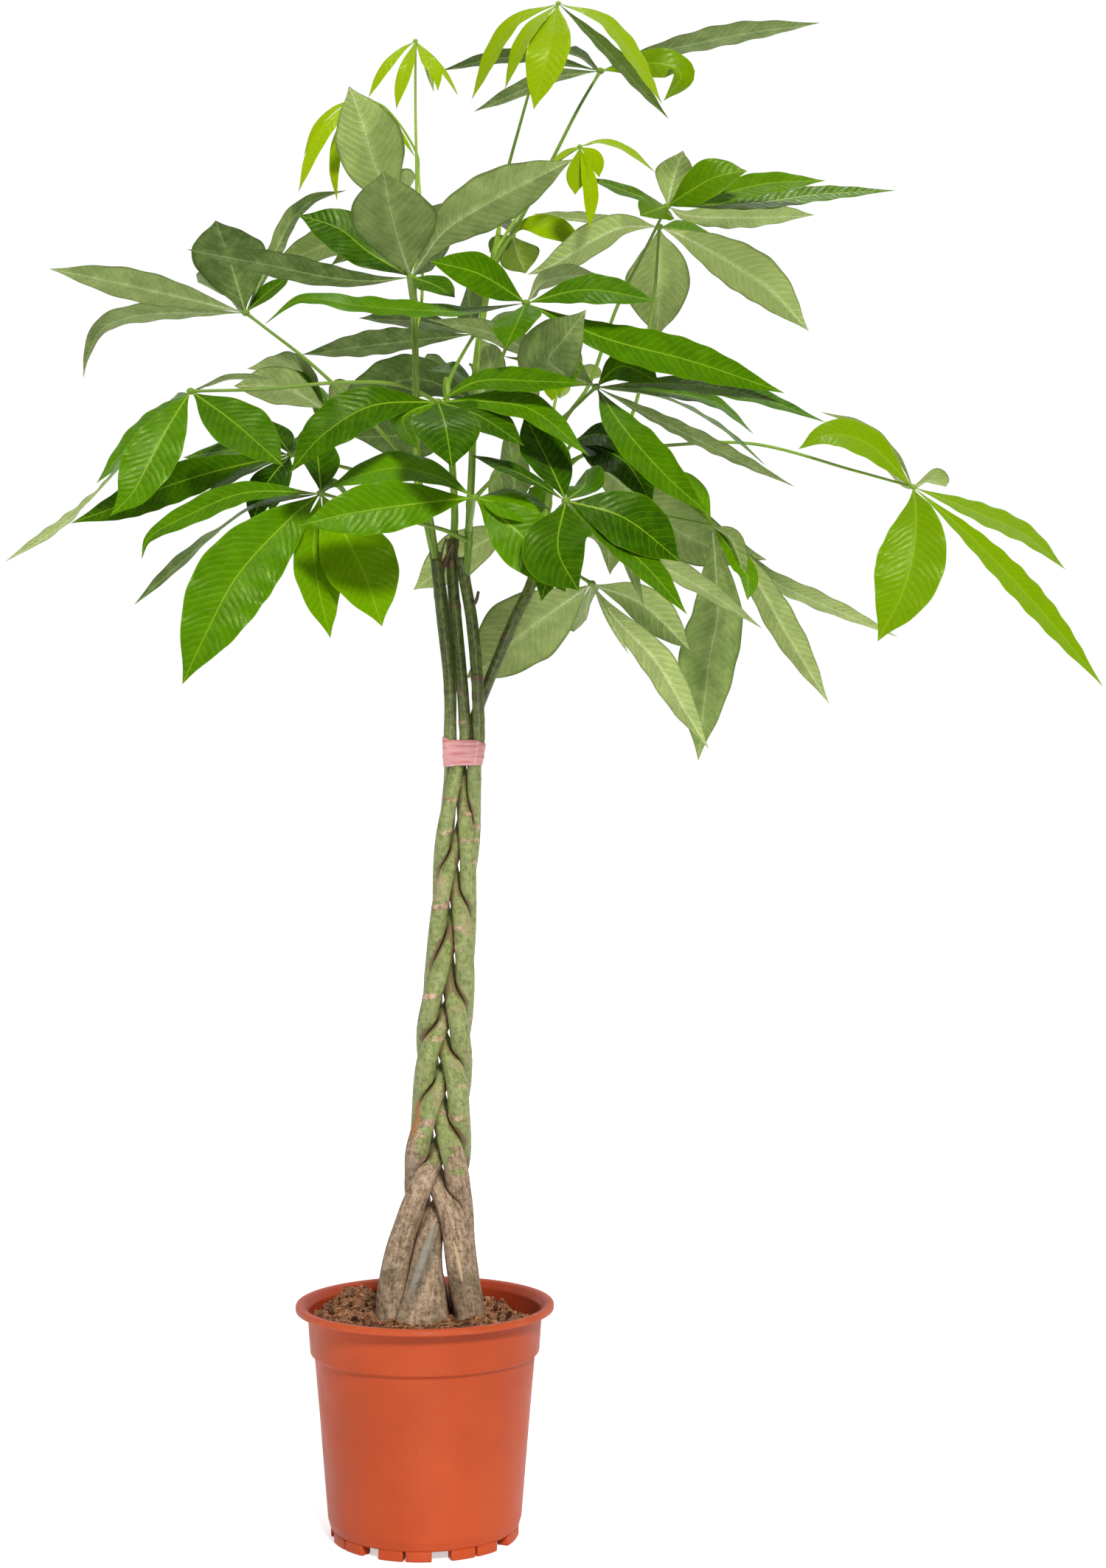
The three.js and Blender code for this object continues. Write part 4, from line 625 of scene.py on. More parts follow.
class Form:
    """Gathers grids of points into one mesh, with their materials, a UV map and values on points."""

    TOUCHING = 0.002
    CELL_BITS = 21
    CREASED = 0.999

    def __init__(self):
        self.points, self.quads, self.paints, self.places, self.values = [], [], [], [], {}
        self.count = 0

    def grid(self, points, paint=0, around=False, over=False, inward=False, place=None, **values):
        """Adds the faces of a grid, or of many grids of one size.

        `around` joins the last column to the first, `over` joins the last row to the first, and a
        face looks to its columns' way crossed with its rows' way, or the other way with `inward`.
        """
        points = np.asarray(points, float)
        points = points.reshape(-1, *points.shape[-3:])
        index = np.arange(points[..., 0].size).reshape(points.shape[:3]) + self.count
        if over:
            index = np.concatenate([index, index[:, :1]], axis=1)
        if around:
            index = np.concatenate([index, index[:, :, :1]], axis=2)
        if place is None:
            rows, columns = (np.linspace(0, 1, size) for size in index.shape[1:])
            place = np.stack(np.broadcast_arrays(columns, rows[:, None]), -1)
        place = np.broadcast_to(place, (*index.shape, 2))
        near, far = slice(None, -1), slice(1, None)
        corners = [(near, near), (near, far), (far, far), (far, near)]
        if inward:
            corners = corners[::-1]
        quads = np.stack([index[:, r, c] for r, c in corners], -1).reshape(-1, 4)
        self.points.append(points.reshape(-1, 3))
        self.quads.append(quads)
        self.paints.append(np.full(len(quads), paint))
        self.places.append(np.stack([place[:, r, c] for r, c in corners], -2).reshape(-1, 4, 2))
        for name in {**self.values, **values}:
            held = self.values.setdefault(name, [np.zeros(self.count)] if self.count else [])
            held.append(np.broadcast_to(values.get(name, 0.0), points.shape[:3]).reshape(-1).astype(float))
        self.count += len(self.points[-1])

    def rod(self, path, radius, sides, steps, paint=0, **values):
        """A tube along a route: circles of the radii, square to the way, closed to a point at both ends."""
        share = np.linspace(0, 1, steps + 1)
        way, centre = path.along(share), path.at(share)
        reference = np.eye(3)[np.argmin(np.abs(path.rows[-1] - path.rows[0]))]
        across = unit(np.cross(way, reference))
        other = np.cross(way, across)
        turn = turns(sides)[:, None]
        ray = across[:, None] * np.cos(turn) + other[:, None] * np.sin(turn)
        rings = centre[:, None] + ray * np.broadcast_to(radius, share.shape)[:, None, None]
        rings = np.concatenate([centre[:1, None] + 0 * rings[:1], rings, centre[-1:, None] + 0 * rings[:1]])
        length = np.concatenate([share[:1], share, share[-1:]]) * path.length / CENTIMETRE
        place = np.stack(np.broadcast_arrays(np.arange(sides + 1) / sides, length[:, None]), -1)
        self.grid(rings, paint, around=True, place=place, **values)

    def make(self, name, materials, slot, *nodes, crease=None):
        """Joins points that coincide, writes the mesh in metres and puts the piece in its nodes' place.

        A face loses the sides whose ends are joined, and goes where fewer than three are left. Edges
        between points where the value named by `crease` is one are sharp. Points more than two
        metres out may be joined too, and only the floor has such points.
        """
        points = np.concatenate(self.points)
        bits = self.CELL_BITS
        cells = np.round(points / self.TOUCHING).astype(np.int64) + (1 << bits - 1)
        cells = (cells[:, 0] << 2 * bits) | (cells[:, 1] << bits) | cells[:, 2]
        _, first, index = np.unique(cells, return_index=True, return_inverse=True)
        quads = index.reshape(-1)[np.concatenate(self.quads)]
        paints, places = np.concatenate(self.paints), np.concatenate(self.places)
        keep = quads != np.roll(quads, -1, axis=1)
        sides = keep.sum(1)
        order = np.argsort(sides, kind="stable")[(sides < 3).sum():]
        keep, sides = keep[order], sides[order]
        corners = quads[order][keep]
        mesh = bpy.data.meshes.new(name)
        mesh.vertices.add(len(first))
        mesh.vertices.foreach_set("co", (points[first] * METRE).ravel())
        mesh.loops.add(len(corners))
        mesh.loops.foreach_set("vertex_index", corners.astype(np.int32))
        mesh.polygons.add(len(order))
        mesh.polygons.foreach_set("loop_start", np.append(0, np.cumsum(sides)[:-1]).astype(np.int32))
        mesh.polygons.foreach_set("material_index", paints[order].astype(np.int32))
        mesh.polygons.foreach_set("use_smooth", np.ones(len(order), bool))
        mesh.update(calc_edges=True)
        mesh.uv_layers.new(name="UVMap").data.foreach_set("uv", places[order][keep].astype(np.float32).ravel())
        held = {value: np.concatenate(parts)[first] for value, parts in self.values.items()}
        for value, numbers in held.items():
            mesh.attributes.new(value, "FLOAT", "POINT").data.foreach_set("value", numbers.astype(np.float32))
        if crease:
            ends = np.zeros(2 * len(mesh.edges), np.int32)
            mesh.edges.foreach_get("vertices", ends)
            sharp = (held[crease] > self.CREASED)[ends].reshape(-1, 2).all(1)
            mesh.attributes.new("sharp_edge", "BOOLEAN", "EDGE").data.foreach_set("value", sharp)
        if mesh.validate():
            raise RuntimeError(f"{name} has faces that do not close")
        for material in materials:
            mesh.materials.append(material)
        piece = bpy.data.objects.new(name, mesh)
        bpy.context.scene.collection.objects.link(piece)
        if slot:
            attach(piece, "root")
        if nodes:
            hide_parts(*nodes)
        return piece


# Pot


def lathe(form, profile, columns, **values):
    """Turns a line of radius and height round the upright axis."""
    radius, height = np.asarray(profile, float).T
    ring = turned(radius[:, None], np.arange(columns)[None], columns)
    form.grid(raised(ring, height[:, None]), around=True, **values)


def pot_outside():
    """The pot's outer line, from the foot of its base up over the lip to its mouth."""
    p = POT
    foot = np.array([p["body_foot_radius"], p["body_foot"]])
    waist = np.array([p["body_top_radius"], p["band_foot"]])
    band = np.array([p["band_foot_radius"], p["band_foot"]])
    lip = np.array([p["rim_radius"], p["rim_top"] - p["lip"]])
    rim = np.array([p["rim_radius"], p["rim_top"]])
    mouth = np.array([p["mouth_radius"], p["rim_top"]])
    return [
        (p["base_radius"] - 2, p["floor"]), (p["base_radius"], p["floor"] + 1.8),
        foot + (-0.9, -3.2), foot + (-0.2, -1.6), foot + (0, 0.6),
        waist + (-5, -60), waist + (0, -3.4), waist + (0.4, -1.2), band, band + (0.3, 2),
        (p["band_top_radius"], p["rim_top"] - p["lip"]), lip + (-0.4, -0.3), lip + (0, 1),
        rim + (-0.2, -1.2), rim + (-1.6, 0), mouth + (2, -0.3), mouth + (0, -1.6),
    ]


def pot_inside(wall, floor_top):
    """The pot's inner line, from the foot of its band down to the floor."""
    p = POT
    return [
        (p["band_foot_radius"] - wall, p["band_foot"] + 1.2),
        (p["body_top_radius"] - wall, p["band_foot"] - 3.4),
        (p["body_foot_radius"] - wall, p["body_foot"] + 1.6),
        (p["base_radius"] - wall - 1.5, floor_top),
    ]


def pot_floor(form, near, far, low, high):
    """The belt of the floor round the drain holes: square fields, each pierced by a round bore.

    A field's border runs round it from the ring `near` to the ring `far`, and its rows shrink
    evenly from the border to the circle of the hole.
    """
    part, columns = POT_COLUMNS // DRAIN["count"], POT_COLUMNS
    around = np.arange(part) - part // 2
    reach = np.linspace(near, far, 5)
    share = np.linspace(0, 1, 4)[:, None, None]
    for middle in np.arange(DRAIN["count"]) * part:
        border = np.concatenate([
            turned(near, middle + around, columns),
            turned(reach[:-1], middle + part // 2, columns),
            turned(far, middle - around, columns),
            turned(reach[:0:-1], middle - part // 2, columns),
        ])
        hole = turned(DRAIN["ring"], middle, columns)
        edge = hole + DRAIN["radius"] * unit(border - hole)
        plate = edge + (border - edge) * share
        form.grid(raised(plate, low), around=True, inward=True)
        form.grid(raised(plate, high), around=True)
        form.grid(np.stack([raised(edge, low), raised(edge, high)]), around=True)


def pot_feet(form):
    """The feet in pairs: a rounded section turned through a short arc, and drawn in at both its ends."""
    inner, outer, top = FEET["inner"], FEET["outer"], POT["floor"] + 0.8
    section = rounded([
        (inner + 4, 0), (outer - 1.2, 0), (outer, 1.2), (outer, top),
        (inner, top), (inner, 1.2), (inner + 1.2, 0), (inner + 4, 0),
    ], 0.6)[:-1]
    core = section.mean(0)
    slit, half = FEET["slit"] / 2, (FEET["pair_width"] - FEET["slit"]) / 2
    pairs = np.arange(FEET["pairs"])[:, None] * 360 / FEET["pairs"]
    starts = FEET["first_slit"] - 90 + pairs + np.array([slit, -slit - half])
    step = np.array([0, 0, 0.35, 1.2, 4, 8, half - 4, half - 1.2, half - 0.35, half, half])
    size = np.array([0, 0.88, 0.97, 1, 1, 1, 1, 1, 0.97, 0.88, 0])
    outline = core + (section - core) * size[:, None, None]
    turn = np.radians(starts.reshape(-1, 1, 1) + step[:, None])
    form.grid(raised(outline[..., :1] * heading(turn), outline[..., 1]), around=True, inward=True)


def pot_form(settings):
    """The pot: a turned wall with a lip, a band and a fine ring, a pierced floor, and feet in pairs."""
    form, wall = Form(), settings.wall / METRE
    near, far = DRAIN["ring"] - DRAIN["belt"], DRAIN["ring"] + DRAIN["belt"]
    floor, floor_top = POT["floor"], POT["floor"] + POT["floor_thickness"]
    neck = (POT["band_top_radius"] - wall, POT["rim_top"] - 7)
    skin = rounded([(far, floor), *pot_outside(), neck, *pot_inside(wall, floor_top), (far, floor_top)], 1.1)
    inside = np.arange(len(skin)) > np.argmax(skin[:, 1])
    lathe(form, skin, POT_COLUMNS, inside=inside[:, None])
    lathe(form, [(near, floor_top), (0, floor_top)], POT_COLUMNS)
    centre = FEET["centre"]
    middle_foot = rounded([(0, 0), (centre - 0.8, 0), (centre, 0.8), (centre, floor), (near, floor)], 0.5)
    lathe(form, middle_foot, POT_COLUMNS)
    pot_floor(form, near, far, floor, floor_top)
    pot_feet(form)
    return form


# Soil


def soil_top(x, y):
    """The soil's height: its level, with round mounds and hollows."""
    x, y = np.asarray(x, float)[..., None], np.asarray(y, float)[..., None]
    middle_x, middle_y, wide, high = np.array(MOUNDS, float).T
    return SOIL_LEVEL + (high * np.exp(-((x - middle_x) ** 2 + (y - middle_y) ** 2) / wide ** 2)).sum(-1)


def soil_rough(x, y):
    """The soil's broken surface: smooth noise of three sizes on top of its height."""
    place, height = np.stack([x, y, 0 * x], -1), soil_top(x, y)
    for high, wide, seed in SOIL_ROUGHNESS:
        height = height + high * lumps(place, wide, seed)
    return height


def scattered(luck, count, reach, inner=0.0):
    """Places strewn evenly over a disc, from the square root of `inner` times its radius outwards."""
    spin, far = luck.uniform(0, 2 * np.pi, count), reach * np.sqrt(luck.uniform(inner, 1, count))
    return far * np.cos(spin), far * np.sin(spin)


def soil_block(form, edge):
    """The soil's block: the pot's inner line, then rings that shrink to the middle of its rough top."""
    wall, floor_top = POT["wall"] + SOIL_GAP, POT["floor"] + POT["floor_thickness"] + SOIL_GAP
    radius, height = np.array([(0, floor_top), *pot_inside(wall, floor_top)[::-1]]).T
    columns = np.arange(SOIL_COLUMNS)[None]
    low = raised(turned(radius[:, None], columns, SOIL_COLUMNS), height[:, None])
    share = np.linspace(1, 0, SOIL_ROWS)[:, None]
    ring = turned(edge * share, columns, SOIL_COLUMNS)
    top = soil_rough(ring[..., 0], ring[..., 1])
    level = eased(share, 0, 0.03)
    top = top * level + (1 - level) * top[-1, 0]
    top -= 1.5 * eased(share, 0.94, 1)
    form.grid(np.concatenate([low, raised(ring, top)]), around=True, shade=0.5)


def soil_crumbs(form, luck, count, reach):
    """Loose crumbs: small balls of uneven radii, broken by noise of two sizes."""
    x, y = scattered(luck, count, reach)
    size = CRUMB["least"] + CRUMB["spread"] * luck.uniform(0, 1, count) ** 3
    centre = np.stack([x, y, soil_rough(x, y) + CRUMB["lift"] * size], -1)[:, None, None]
    radii = (size[:, None] * luck.uniform(*CRUMB["unevenness"], (count, 3)))[:, None, None]
    skin = sphere(6, 9)
    spot = skin[None] + centre
    broken = 1 + 0.5 * lumps(spot + 50 * skin, 30, 12) + 0.3 * lumps(spot + 9 * skin, 3.1, 4)
    skin = skin * broken[..., None]
    form.grid(centre + radii * skin, around=True, shade=luck.uniform(0, 1, (count, 1, 1)))


def soil_fibres(form, luck, count, edge):
    """Dry fibres: thin bent tubes that taper to both ends and lie on the soil, kept off the pot's wall."""
    x, y = scattered(luck, count, edge - 16, 0.05)
    way = luck.uniform(0, 2 * np.pi, count)[:, None]
    length, thick = (luck.uniform(*FIBRE[name], count)[:, None] for name in ("half_length", "radius"))
    share = np.linspace(-1, 1, 7)
    bend = luck.uniform(-FIBRE["bend"], FIBRE["bend"], (count, 1)) * share ** 2
    line_x = x[:, None] + length * share * np.cos(way) - bend * np.sin(way)
    line_y = y[:, None] + length * share * np.sin(way) + bend * np.cos(way)
    inside = np.minimum(1, (edge - 2) / np.hypot(line_x, line_y))
    line_x, line_y = line_x * inside, line_y * inside
    ground = soil_rough(line_x, line_y)
    slope = luck.uniform(*FIBRE["slope"], (count, 1))
    line_z = ground.mean(1, keepdims=True) * 0.6 + ground * 0.4 + FIBRE["lift"] + slope * length * share
    turn = turns(5)
    taper = (thick * np.sqrt(1 - share ** 2))[..., None]
    side, lift = taper * np.cos(turn), taper * np.sin(turn)
    rings = np.stack([
        line_x[..., None] - side * np.sin(way)[..., None],
        line_y[..., None] + side * np.cos(way)[..., None],
        line_z[..., None] + lift,
    ], -1)
    form.grid(rings, around=True, shade=FIBRE["shade"] + luck.uniform(0, 0.6, (count, 1, 1)))


def soil_form(settings):
    """The soil: a filled pot with a rough top, crumbs of many sizes and dry fibres lying on it."""
    form = Form()
    foot, wall = POT["band_foot"], POT["wall"] + SOIL_GAP
    slope = (POT["band_top_radius"] - POT["band_foot_radius"]) / (POT["rim_top"] - POT["lip"] - foot)
    edge = POT["band_foot_radius"] - wall + slope * (SOIL_LEVEL - 16 - foot)
    luck = np.random.default_rng(71)
    soil_block(form, edge)
    soil_crumbs(form, luck, settings.crumbs, edge - 3)
    soil_fibres(form, luck, settings.fibres, edge)
    return form


# Stems


def strand_course(stem, height):
    """A strand's middle and radius by height.

    It passes to and fro along a figure of eight, outwards over the front and back behind; it
    eases from its foot in the soil below, and above the tie it goes its own way.
    """
    middle, half, radius, fifths = np.moveaxis(smooth(BRAID[:, 0], BRAID[:, 1:], height), -1, 0)
    phase = np.pi / 2 - (fifths - stem["turn"]) * 2 * np.pi / len(STEMS)
    swing = np.tanh(BRAID_SQUARENESS * np.cos(phase)) / np.tanh(BRAID_SQUARENESS)
    course = np.stack([middle + (half - radius) * swing, -BRAID_DEPTH * radius * np.sin(2 * phase), radius], -1)
    rooted = np.clip((FOOT_END - height) / (FOOT_END - FOOT_SETTLED), 0, 1)[..., None] ** FOOT_EASE
    course = course * (1 - rooted) + np.array(stem["foot"]) * rooted
    top = np.array(stem["top"], float)
    free = smooth(top[:, 2], top[:, :2], height)
    ease = eased(height, TOP_START, TOP_SETTLED)[..., None]
    course[..., :2] = course[..., :2] * (1 - ease) + free * ease
    return course


def shoot_point(stem, height):
    """The point on a stem's green shoot at a height."""
    points = np.array(stem["shoot"], float)
    return np.append(smooth(points[:, 2], points[:, :2], np.array([float(height)]))[0], height)


def pressed_outline(stem, course, height, ray):
    """A strand's reach along each ray, and how near its skin there lies to another strand.

    The reach is the soft least of the strand's radius and the way to the wall between it and each
    neighbour. The nearness goes from 1, where a neighbour's skin touches it, to 0 at DUST_AND_SHADE_REACH.
    """
    # The nearness paints brown dust and shade on the bark between the strands.
    centre, radius = course[:, :2], course[:, 2]
    tight = np.repeat(radius[:, None] ** -STRAND_SHARPNESS, len(ray), axis=1)
    others = []
    for other in STEMS.values():
        if other is stem:
            continue
        far = strand_course(other, height)
        away = far[:, :2] - centre
        near = np.linalg.norm(away, axis=1, keepdims=True)
        face = (away / near) @ ray.T
        wall = (near * (radius / (radius + far[:, 2]))[:, None] - STRAND_GAP) / np.maximum(face, 0.05)
        beside = (height < other["top"][-1][2] + 10)[:, None]
        tight += np.where((face > 0.05) & beside, wall ** -STRAND_SHARPNESS, 0)
        others.append((far, beside))
    reach = tight ** (-1 / STRAND_SHARPNESS)
    skin = centre[:, None] + ray * reach[..., None]
    gaps = [
        np.where(beside, np.linalg.norm(skin - far[:, None, :2], axis=2) - far[:, 2:], 99)
        for far, beside in others
    ]
    return reach, np.clip(1 - np.min(gaps, axis=0) / DUST_AND_SHADE_REACH, 0, 1)


def strand(form, stem, settings):
    """A strand: rings pressed flat softly against its neighbours, with bark relief and a cut end.

    Sines in turn and height raise ridges and swellings. A leaf scar is a ring that waves a little
    in height and fades towards one side of the stem.
    """
    luck = np.random.default_rng(100 + stem["turn"])
    top = stem["top"][-1][2]
    height = np.linspace(STEM_FOOT, top, int((top - STEM_FOOT) / STRAND_STEP) + 1)
    course = strand_course(stem, height)
    centre = course[:, :2]
    turn = np.pi / 2 + turns(settings.rays)
    ray = heading(turn)
    reach, pressed = pressed_outline(stem, course, height, ray)
    h = height[:, None]
    old = 1 - eased(h, *OLD_BARK)
    phases = luck.uniform(0, 2 * np.pi, 8)
    ridges = 0.35 * np.sin(5 * turn + phases[0] + h / 34) + 0.35 * np.sin(9 * turn + phases[1] - h / 26)
    ridges = ridges + 0.3 * np.sin(13 * turn + phases[2] + h / 19)
    swell = 0.5 * np.sin(h / 31 + phases[3]) + 0.5 * np.sin(h / 17 + phases[4] + turn)
    rings = luck.uniform(SCARS["lowest"], top - SCARS["below_top"], SCARS["count"])
    around = turn[None, :, None]
    scar = np.exp(-((h[..., None] - rings - 1.5 * np.sin(around + rings)) / SCARS["width"]) ** 2)
    scar = (scar * (0.5 + 0.5 * np.sin(around + rings * 3))).sum(-1)
    relief = settings.relief / METRE
    reach = reach * (1 + old * 0.022 * ridges + 0.018 * swell) + relief * scar * eased(h, *SCAR_BARK)
    shares, rises = CUT_END.T
    ends = len(CUT_END)
    reach = np.concatenate([0 * reach[:1], reach, reach[-1:] * shares[:, None]])
    height = np.concatenate([height[:1], height, top + rises])
    centre = np.concatenate([centre[:1], centre, np.repeat(centre[-1:], ends, axis=0)])
    clean = np.zeros((ends, settings.rays))
    scar, pressed = (np.concatenate([one[:1], one, clean]) for one in (scar, pressed))
    cut = np.zeros((len(height), 1))
    cut[1 - ends:] = 1
    columns = np.arange(settings.rays + 1) / settings.rays
    place = np.stack(np.broadcast_arrays(columns, height[:, None] / BARK_MAP), -1)
    points = raised(centre[:, None] + ray * reach[..., None], height[:, None])
    form.grid(points, 0, around=True, place=place, cut=cut, scar=scar, pressed=pressed, own=luck.uniform())


def stem_form(name, settings):
    """A stem: its strand with a cut end, the green shoot with a knot at each leaf, and dry twigs."""
    form, stem = Form(), STEMS[name]
    strand(form, stem, settings)
    path = Route(stem["shoot"])
    steps = int(path.length / 3)
    share = np.linspace(0, 1, steps + 1)
    height = path.at(share)[:, 2]
    joints = np.array([leaf["joint"] for leaf in LEAVES.values() if leaf["stem"] == name], float)
    knots = (KNOT["height"] * np.exp(-((height[:, None] - joints + 1) / KNOT["width"]) ** 2)).sum(1)
    radius = SHOOT_RADIUS - 0.6 * share + knots
    form.rod(path, radius * np.clip((1 - share) * 60, 0.3, 1) ** 0.5, 16, steps, 1)
    for thick, points in stem["twigs"]:
        form.rod(Route(points), thick * (1 - 0.35 * np.linspace(0, 1, 13)), 8, 12, 2)
    return form


# Tie


def tie_form(settings):
    """The tie: tape wound round the bundle.

    Its outline is a strand's circle rolled over the outermost strand each way. Its upper edge
    falls from left to right, and its lower edge is nearly level. Between them a narrow fold
    stands out of the lap, fine sines in height crease the tape, and each edge turns in.
    """
    form, turn = Form(), turns(120)
    ray = heading(turn)
    low = TIE["low"] - 0.6 + 0.7 * np.cos(turn) + 0.25 * np.sin(3 * turn)
    high = TIE["high"] + 1.1 - 3.3 * np.cos(turn) + 0.3 * np.sin(2 * turn + 1)
    share = np.concatenate([[0], np.linspace(0.015, 0.985, 44), [1]])
    rows = len(share)
    share = np.concatenate([share, share[::-8]])[:, None]
    height = low + (high - low) * share
    level = height - (TIE["low"] + TIE["fold"] - 0.5 * np.cos(turn + 0.6))
    above = eased(level, -1.6, -1.2)
    grow = settings.thick / METRE + 0 * height
    grow += 0.5 * above * (1 - eased(level, 1.2, 1.5)) - 0.28 * (1 - above)
    upper_creases = 0.13 * np.sin(height / 0.9 + 2 * np.sin(2 * turn)) * eased(level, 1.5, 4)
    lower_creases = 0.16 * np.sin(height / 0.6 + 3 * np.sin(turn)) * (1 - eased(level, -6, -3))
    grow += upper_creases + lower_creases
    grow -= 0.5 * (1 - eased(share, 0, 0.04)) + 0.5 * eased(share, 0.96, 1)
    grow[rows:] = TIE["lining"]
    centres = np.stack([strand_course(stem, height)[..., :2] for stem in STEMS.values()], 2)
    best = np.argmax((centres * ray[:, None]).sum(-1), axis=2)
    centre = np.take_along_axis(centres, best[..., None, None], axis=2)[:, :, 0]
    radius = smooth(BRAID[:, 0], BRAID[:, 3:4], height) + TIE["clearance"]
    points = centre + ray * (radius + grow[..., None] - TIE["lining"])
    form.grid(raised(points, height), around=True, over=True)
    return form


# Leaves


def blade_width(share):
    """A leaflet's width along its length: a wedge at the base, widest past the middle, drawn to a point."""
    body = np.sin(np.pi * np.clip(share, 0, 1) ** 1.15) ** 1.05
    return np.abs(body) * (1 - 0.22 * eased(share, 0.84, 0.97)) * (0.72 + 0.28 * eased(share, 0, 0.22))


def facing(place, way, face, hand):
    """The upper face's direction on a midrib: turned from the eye about the midrib by the face value."""
    eye = unit(EYE - place)
    to_eye = unit(eye - way * (eye * way).sum(-1, keepdims=True))
    up = np.cross(way, to_eye) * hand
    return to_eye * face + up * np.sqrt(1 - face * face)


def leaflet_faces(form, hub, part, leaf, number, settings):
    """A leaflet's two faces, meeting at the margin.

    A point lies at a share of the half width beside the midrib. It is lifted by a soft fold, by
    a wave that grows towards the margin, and by half the blade's thickness, which swells to a
    ridge under the midrib and thins to nothing at the margin.
    """
    path = Route([hub, *seen(part["points"])])
    luck = np.random.default_rng(number)
    share = np.linspace(0, 1, max(int(path.length / BLADE["step"]), BLADE["least_steps"]) + 1)
    share = share + 0.035 * np.sin(2 * np.pi * share) * share
    share[-1] = 1
    place, way = path.at(share), path.along(share)
    middle = np.cross(path.along(0.5), EYE - path.at(0.5))
    hand = -1 if middle[2] < 0 else 1
    start, end = part["face"][[0, -1]]
    top = facing(place, way, (start + (end - start) * share)[:, None], hand)
    side = np.cross(way, top)
    half = (part["wide"] / 2 * blade_width(share))[:, None]
    span, share = SPAN[None], share[:, None]
    far = share * path.length
    wave = luck.uniform(22, 34)
    left = np.sin(2 * np.pi * far / wave + luck.uniform(0, 6.3))
    right = np.sin(2 * np.pi * far / (wave * 1.13) + luck.uniform(0, 6.3))
    ripple = settings.ripple * half * np.abs(span) ** 2.4 * np.where(span < 0, left, right)
    ripple = ripple * (eased(share, 0.04, 0.3) * (1 - eased(share, 0.8, 1)))
    lift = BLADE["fold"] * half * (np.sqrt(span ** 2 + 0.01) - 0.1) + ripple
    thick = BLADE["thickness"] * (1 - span ** 2) ** 0.5
    thick = thick * np.clip(share * 12, 0, 1) * np.clip((1 - share) * 14, 0, 1)
    ridge = np.exp(-((span * half) / (0.9 + 0.5 * (1 - share))) ** 2) * (thick > 0)
    under = thick + ridge * (BLADE["rib_under"] - 0.45 * share) * np.clip(share * 10, 0, 1)
    over = thick + BLADE["rib_over"] * ridge
    base = place[:, None] + side[:, None] * (span * half)[..., None] + top[:, None] * lift[..., None]
    uv = np.stack(np.broadcast_arrays(span * half / CENTIMETRE, far / CENTIMETRE), -1)
    tone, young = part["tone"], part["young"]
    upper, lower = (leaf[name] if tone is None else tone for name in ("upper", "under"))
    young = leaf["youth"] if young is None else young
    values = {"span": np.abs(span), "along": share, "young": young, "own": luck.uniform()}
    form.grid(base + top[:, None] * over[..., None], 0, place=uv, tone=upper, **values)
    form.grid(base - top[:, None] * under[..., None], 1, inward=True, place=uv, tone=lower, **values)


def leaf_form(name, settings):
    """A leaf: its stalk from the joint on a shoot, swollen at both ends, the hub, and its leaflets."""
    form, leaf = Form(), LEAVES[name]
    number, youth = int(name[-2:]), leaf["youth"]
    hub = seen(leaf["hub"])
    path = Route([shoot_point(STEMS[leaf["stem"]], leaf["joint"]), *seen(leaf["stalk"]), hub])
    steps = max(int(path.length / STALK["step"]), 8)
    share = np.linspace(0, 1, steps + 1)
    radius = (STALK["root"] + (STALK["tip"] - STALK["root"]) * share) * (1 - 0.25 * youth)
    root = STALK["root_swell"] * np.exp(-(share * path.length / STALK["root_reach"]) ** 2)
    tip = STALK["tip_swell"] * np.exp(-((1 - share) * path.length / STALK["tip_reach"]) ** 2)
    form.rod(path, radius * (1 + root + tip), 10, steps, 2, tone=leaf["upper"], young=youth)
    knob = HUB["radius"] * (1 - 0.45 * youth) * np.array([1, 1, HUB["flatness"]])
    form.grid(hub + knob * sphere(8, 12), 2, around=True, tone=leaf["upper"], young=youth)
    for i, part in enumerate(leaf["blades"]):
        leaflet_faces(form, hub, part, leaf, 100 * number + i, settings)
    return form


# Materials


def paint(red, green, blue):
    """A colour given as it shows on a screen, from 0 to 255, as the linear colour a shader takes."""
    shown = np.array([red, green, blue]) / 255
    return tuple(np.where(shown < 0.04045, shown / 12.92, ((shown + 0.055) / 1.055) ** 2.4).tolist())


